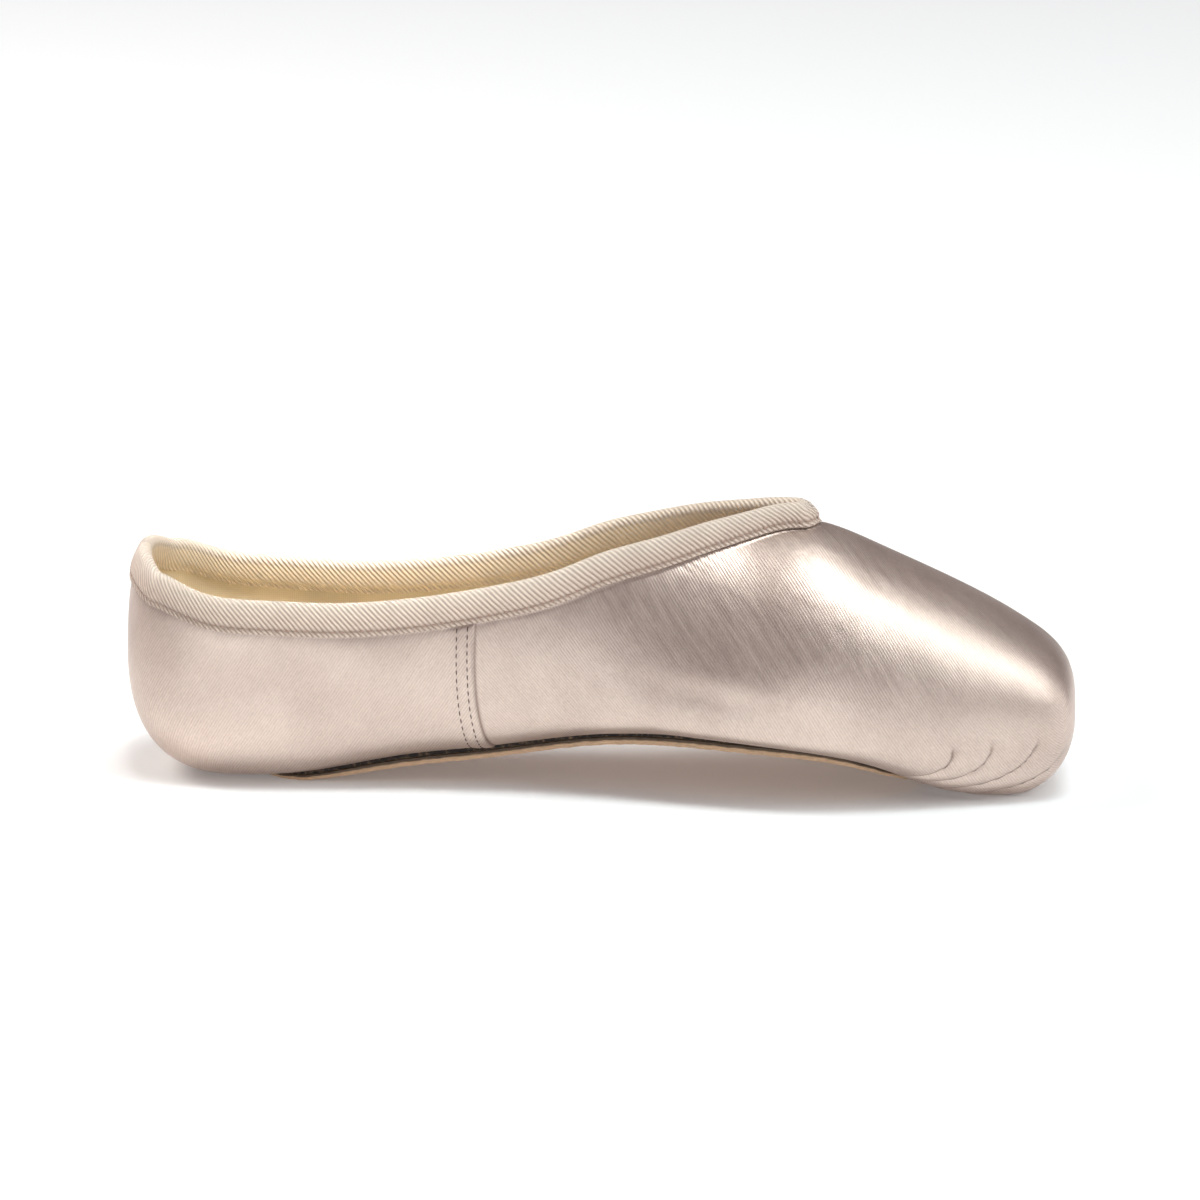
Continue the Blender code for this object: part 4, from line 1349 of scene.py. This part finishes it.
def stitch_tree(material):
    """Geometry nodes that lay stitches along the edges of a mesh path."""
    tree = bpy.data.node_groups.new("stitches along a path", "GeometryNodeTree")
    face = tree.interface
    face.new_socket("Path", in_out="INPUT", socket_type="NodeSocketGeometry")
    sizes = {"Pitch": 2.1 * MM, "Stitch length": 1.6 * MM, "Stitch width": 0.4 * MM}
    for name, size in sizes.items():
        socket = face.new_socket(name, in_out="INPUT", socket_type="NodeSocketFloat")
        socket.default_value = size
        socket.subtype = "DISTANCE"
    face.new_socket("Stitches", in_out="OUTPUT", socket_type="NodeSocketGeometry")
    given = add(tree, "NodeGroupInput").outputs
    curve = add(tree, "GeometryNodeMeshToCurve", {"Mesh": given["Path"]}).outputs[0]
    values = {"Curve": curve, "Length": given["Pitch"]}
    resample = add(tree, "GeometryNodeResampleCurve", values, mode="LENGTH")
    values = {"Segments": 8, "Rings": 6, "Radius": 0.5}
    bead = add(tree, "GeometryNodeMeshUVSphere", values).outputs["Mesh"]
    size = add(tree, "ShaderNodeCombineXYZ")
    tree.links.new(given["Stitch length"], size.inputs["X"])
    tree.links.new(given["Stitch width"], size.inputs["Y"])
    tree.links.new(given["Stitch width"], size.inputs["Z"])
    stitch = add(tree, "GeometryNodeTransform", {"Geometry": bead, "Scale": size.outputs[0]})
    tangent = add(tree, "GeometryNodeInputTangent").outputs[0]
    values = {"Vector": tangent}
    along = add(tree, "FunctionNodeAlignRotationToVector", values, axis="X").outputs[0]
    outward = add(
        tree, "GeometryNodeInputNamedAttribute", {"Name": "outward"}, data_type="FLOAT_VECTOR"
    ).outputs["Attribute"]
    values = {"Rotation": along, "Vector": outward}
    turn = add(
        tree, "FunctionNodeAlignRotationToVector", values, axis="Z", pivot_axis="X"
    ).outputs[0]
    values = {"Points": resample.outputs[0], "Instance": stitch.outputs[0], "Rotation": turn}
    laid = add(tree, "GeometryNodeInstanceOnPoints", values).outputs[0]
    real = add(tree, "GeometryNodeRealizeInstances", {"Geometry": laid}).outputs[0]
    values = {"Geometry": real, "Material": material}
    finished = add(tree, "GeometryNodeSetMaterial", values).outputs[0]
    ending = add(tree, "NodeGroupOutput")
    tree.links.new(finished, ending.inputs["Stitches"])
    return tree


def path_mesh(name, paths):
    """Edges along each path of (points, outward vectors)."""
    points = np.concatenate([path for path, _ in paths])
    outward = np.concatenate([ways for _, ways in paths])
    points = points.copy()
    points[:, 0] -= bpy.context.scene.pointe_last.length / 2
    edges, start = [], 0
    for path, _ in paths:
        edges += [(start + k, start + k + 1) for k in range(len(path) - 1)]
        start += len(path)
    mesh = bpy.data.meshes.new(name)
    mesh.from_pydata(points.tolist(), edges, [])
    layer = mesh.attributes.new("outward", "FLOAT_VECTOR", "POINT")
    layer.data.foreach_set("vector", outward.astype(np.float32).ravel())
    piece = bpy.data.objects.new(name, mesh)
    bpy.context.scene.collection.objects.link(piece)
    return piece


def lay_stitches(name, paths, material, pitch, length, width):
    """Stitches along the paths, as one plain mesh."""
    piece = path_mesh(name, paths)
    tree = stitch_tree(material)
    modifier = piece.modifiers.new("stitches", "NODES")
    modifier.node_group = tree
    wanted = {"Pitch": pitch, "Stitch length": length, "Stitch width": width}
    for socket in tree.interface.items_tree:
        if socket.in_out == "INPUT" and socket.name in wanted:
            modifier[socket.identifier] = wanted[socket.name]
    made_plain(piece)
    if not piece.data.polygons:
        raise RuntimeError(f"no stitches were made for {name}")
    piece.data.shade_smooth()
    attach(piece, BODY)
    return piece


def seam_paths(last, cloth, row):
    """Where a stitch row crosses the rows of the cloth, on both sides."""
    s = last.s
    rows = np.arange(LIP_ROWS + 2, LIP_ROWS + SIDE_ROWS - 3)
    share = (rows - LIP_ROWS) / SIDE_ROWS
    paths = []
    for side, pleats, creases, phase in (
        (1, FAR_PLEATS, FAR_CREASES, 0.7),
        (-1, NEAR_PLEATS, NEAR_CREASES, 2.9),
    ):
        relief = side_relief(s, cloth.plain, pleats, creases, phase)
        surface = cloth.plain + cloth.normals * relief[:, :, None]
        points, ways = [], []
        for number, down in zip(rows, share):
            x = cloth.plain[SEAM_LINE, number, 0] - row_offset(row, down)
            places = cloth.plain[: SEAM_LINE + 1, number, 0]
            where = np.interp(x, places, np.arange(SEAM_LINE + 1))
            k = int(np.clip(np.floor(where), 0, SEAM_LINE - 1))
            part = where - k
            way = cloth.normals[k, number] * (1 - part) + cloth.normals[k + 1, number] * part
            point = surface[k, number] * (1 - part) + surface[k + 1, number] * part
            points.append((point + way * 0.06 * MM) * (1, side, 1))
            ways.append(way * (1, side, 1))
        paths.append((np.array(points), np.array(ways)))
    return paths


def tape_path(last, tape):
    """The row of stitches that holds the tape, round its outside."""
    s = last.s
    down = (1 - TAPE_STITCH / tape.height)[:, None]
    far = s.quarter_wall / 2 + s.clearance + s.tape
    points = tape.place(down, far - 0.02 * MM)
    outward = tape.top_out * (1 - down) + tape.low_out * down
    closed = np.concatenate([points, points[:1]])
    return [(closed, np.concatenate([outward, outward[:1]]))]


# Operators, in the order that main calls them

WORK = {}


def current_last():
    """The last and its cloth, traced once for the sizes shown."""
    s = bpy.context.scene.pointe_last
    sizes = tuple(getattr(s, name) for name in sorted(s.__annotations__))
    if WORK.get("sizes") != sizes:
        last = Last(s)
        WORK.update(sizes=sizes, last=last, cloth=Cloth(last))
    return WORK["last"], WORK["cloth"]


class POINTE_OT_satin_upper(bpy.types.Operator):
    """Make the satin vamp and quarters, with their lining and pleats"""

    bl_idname = "pointe.satin_upper"
    bl_label = "Satin Upper"

    def execute(self, context):
        make_upper(*current_last())
        return {"FINISHED"}


class POINTE_OT_binding_tape(bpy.types.Operator):
    """Make the ribbed tape folded over the collar"""

    bl_idname = "pointe.binding_tape"
    bl_label = "Binding Tape"

    def execute(self, context):
        WORK["tape"] = make_tape(*current_last())
        return {"FINISHED"}


class POINTE_OT_stitches(bpy.types.Operator):
    """Lay the stitches of the side seams and of the tape"""

    bl_idname = "pointe.stitches"
    bl_label = "Stitches"

    def execute(self, context):
        last, cloth = current_last()
        f = context.scene.pointe_finishes
        seam = thread_material("seam thread", f.thread)
        paths = seam_paths(last, cloth, 0) + seam_paths(last, cloth, 1)
        lay_stitches("seam_stitches", paths, seam, 2.0 * MM, 1.35 * MM, 0.30 * MM)
        cotton = thread_material("tape thread", f.tape_thread)
        if "tape" not in WORK:
            raise RuntimeError("the tape is made before its stitches")
        paths = tape_path(last, WORK["tape"])
        lay_stitches("tape_stitches", paths, cotton, 2.3 * MM, 1.7 * MM, 0.34 * MM)
        return {"FINISHED"}


class POINTE_OT_leather_outsole(bpy.types.Operator):
    """Make the leather outsole with its cut edge"""

    bl_idname = "pointe.leather_outsole"
    bl_label = "Leather Outsole"

    def execute(self, context):
        make_outsole(current_last()[0])
        return {"FINISHED"}


class POINTE_OT_sock(bpy.types.Operator):
    """Make the cloth-covered insole"""

    bl_idname = "pointe.sock"
    bl_label = "Sock"

    def execute(self, context):
        make_sock(current_last()[0])
        return {"FINISHED"}


def new_light(name, place, aim, size, power, shade, spread_degrees=180):
    light = bpy.data.lights.new(name, "AREA")
    light.shape = "RECTANGLE"
    light.size, light.size_y = size
    light.spread = np.radians(spread_degrees)
    light.energy = power
    light.color = shade
    lamp = bpy.data.objects.new(name, light)
    lamp.location = place
    lamp.rotation_euler = (Vector(aim) - Vector(place)).to_track_quat("-Z", "Y").to_euler()
    bpy.context.scene.collection.objects.link(lamp)


def new_sun(name, way, spread_degrees, strength, shade):
    light = bpy.data.lights.new(name, "SUN")
    light.angle = np.radians(spread_degrees)
    light.energy = strength
    light.color = shade
    lamp = bpy.data.objects.new(name, light)
    lamp.rotation_euler = Vector(way).to_track_quat("Z", "Y").to_euler()
    bpy.context.scene.collection.objects.link(lamp)


def make_camera(g):
    rise, turn, roll = g.elevation, g.azimuth, g.roll
    forward = Vector((-np.sin(turn) * np.cos(rise), np.cos(turn) * np.cos(rise), -np.sin(rise)))
    level = Vector((np.cos(turn), np.sin(turn), 0))
    upright = level.cross(forward)
    right = level * np.cos(roll) + upright * np.sin(roll)
    up = upright * np.cos(roll) - level * np.sin(roll)
    data = bpy.data.cameras.new("camera")
    data.sensor_width = 36
    data.lens = 36 * g.reach / g.view_width
    camera = bpy.data.objects.new("camera", data)
    turned_axes = Matrix((right, up, -forward)).transposed().to_4x4()
    place = Vector((g.aim_x, 0, g.aim_z)) - forward * g.reach
    camera.matrix_world = Matrix.Translation(place) @ turned_axes
    bpy.context.scene.collection.objects.link(camera)
    bpy.context.scene.camera = camera


class POINTE_OT_stage(bpy.types.Operator):
    """Set up the pale floor, the studio light and the camera"""

    bl_idname = "pointe.stage"
    bl_label = "Stage"

    def execute(self, context):
        scene = context.scene
        make_camera(scene.pointe_stage)
        mesh = bpy.data.meshes.new("floor")
        half = 6.0
        corners = [(-half, -half, 0), (half, -half, 0), (half, half, 0), (-half, half, 0)]
        mesh.from_pydata(corners, [], [(0, 1, 2, 3)])
        mesh.materials.append(stage_material((0.90, 0.91, 0.92)))
        floor = bpy.data.objects.new("floor", mesh)
        scene.collection.objects.link(floor)
        world = bpy.data.worlds.new("studio")
        world.use_nodes = True
        sky = world.node_tree.nodes["Background"]
        sky.inputs["Color"].default_value = (1.0, 0.80, 0.84, 1)
        sky.inputs["Strength"].default_value = 0.135
        scene.world = world
        new_sun("overhead", (0.14, -0.08, 1.0), 22, 1.12, (0.93, 1.0, 1.0))
        vamp, side, opening = (0.05, 0, 0.04), (0, 0, 0.03), (-0.068, 0.03, 0.05)
        new_light("toe side", (0.97, -0.46, 0.99), vamp, (0.40, 1.45), 6.6, (0.92, 1, 1))
        new_light("toe low", (1.58, -0.42, 1.19), side, (0.75, 0.75), 1.9, (0.95, 1, 1))
        new_light("toe high", (0.97, -0.26, 1.77), side, (0.75, 0.75), 1.2, (0.95, 1, 1))
        new_light("low front", (-0.6, -2.5, 0.36), side, (3.0, 0.66), 7.6, (0.95, 1, 1))
        new_light("near front", (0.35, -1.96, 0.25), side, (1.4, 0.32), 1.1, (0.95, 1, 1))
        new_light("heel side", (-1.1, 0.40, 1.1), side, (0.8, 0.8), 12.0, (1, 0.96, 0.90))
        new_light("toe end", (1.5, 0.10, 0.33), side, (0.7, 0.5), 1.5, (0.95, 1, 1))
        new_light("opening", (-0.085, -0.11, 0.38), opening, (0.06, 0.06), 0.024, (1, 0.97, 0.92), 24)
        scene.view_settings.view_transform = "Standard"
        scene.view_settings.look = "None"
        scene.view_settings.exposure = 0.33
        return {"FINISHED"}


PIECE_OPERATORS = (
    POINTE_OT_satin_upper,
    POINTE_OT_binding_tape,
    POINTE_OT_stitches,
    POINTE_OT_leather_outsole,
    POINTE_OT_sock,
    POINTE_OT_stage,
)


class POINTE_PT_shoe(bpy.types.Panel):
    """The pieces of the pointe shoe, with their sizes and finishes"""

    bl_idname = "POINTE_PT_shoe"
    bl_label = "Pointe Shoe"
    bl_space_type = "VIEW_3D"
    bl_region_type = "UI"
    bl_category = "Pointe Shoe"

    def draw(self, context):
        for operator in PIECE_OPERATORS:
            self.layout.operator(operator.bl_idname)
        for group in ("pointe_last", "pointe_finishes", "pointe_stage"):
            box = self.layout.box()
            values = getattr(context.scene, group)
            for name in values.__annotations__:
                box.prop(values, name)


GROUPS = {
    "pointe_last": PointeLastSizes,
    "pointe_finishes": PointeFinishes,
    "pointe_stage": PointeStage,
}
CLASSES = (*GROUPS.values(), *PIECE_OPERATORS, POINTE_PT_shoe)


def register():
    for item in CLASSES:
        bpy.utils.register_class(item)
    for name, group in GROUPS.items():
        setattr(bpy.types.Scene, name, PointerProperty(type=group))


def unregister():
    for name in GROUPS:
        delattr(bpy.types.Scene, name)
    for item in reversed(CLASSES):
        bpy.utils.unregister_class(item)


def main():
    register()
    bpy.ops.pointe.satin_upper()
    bpy.ops.pointe.binding_tape()
    bpy.ops.pointe.stitches()
    bpy.ops.pointe.leather_outsole()
    bpy.ops.pointe.sock()
    bpy.ops.pointe.stage()


if __name__ == "__main__":
    main()
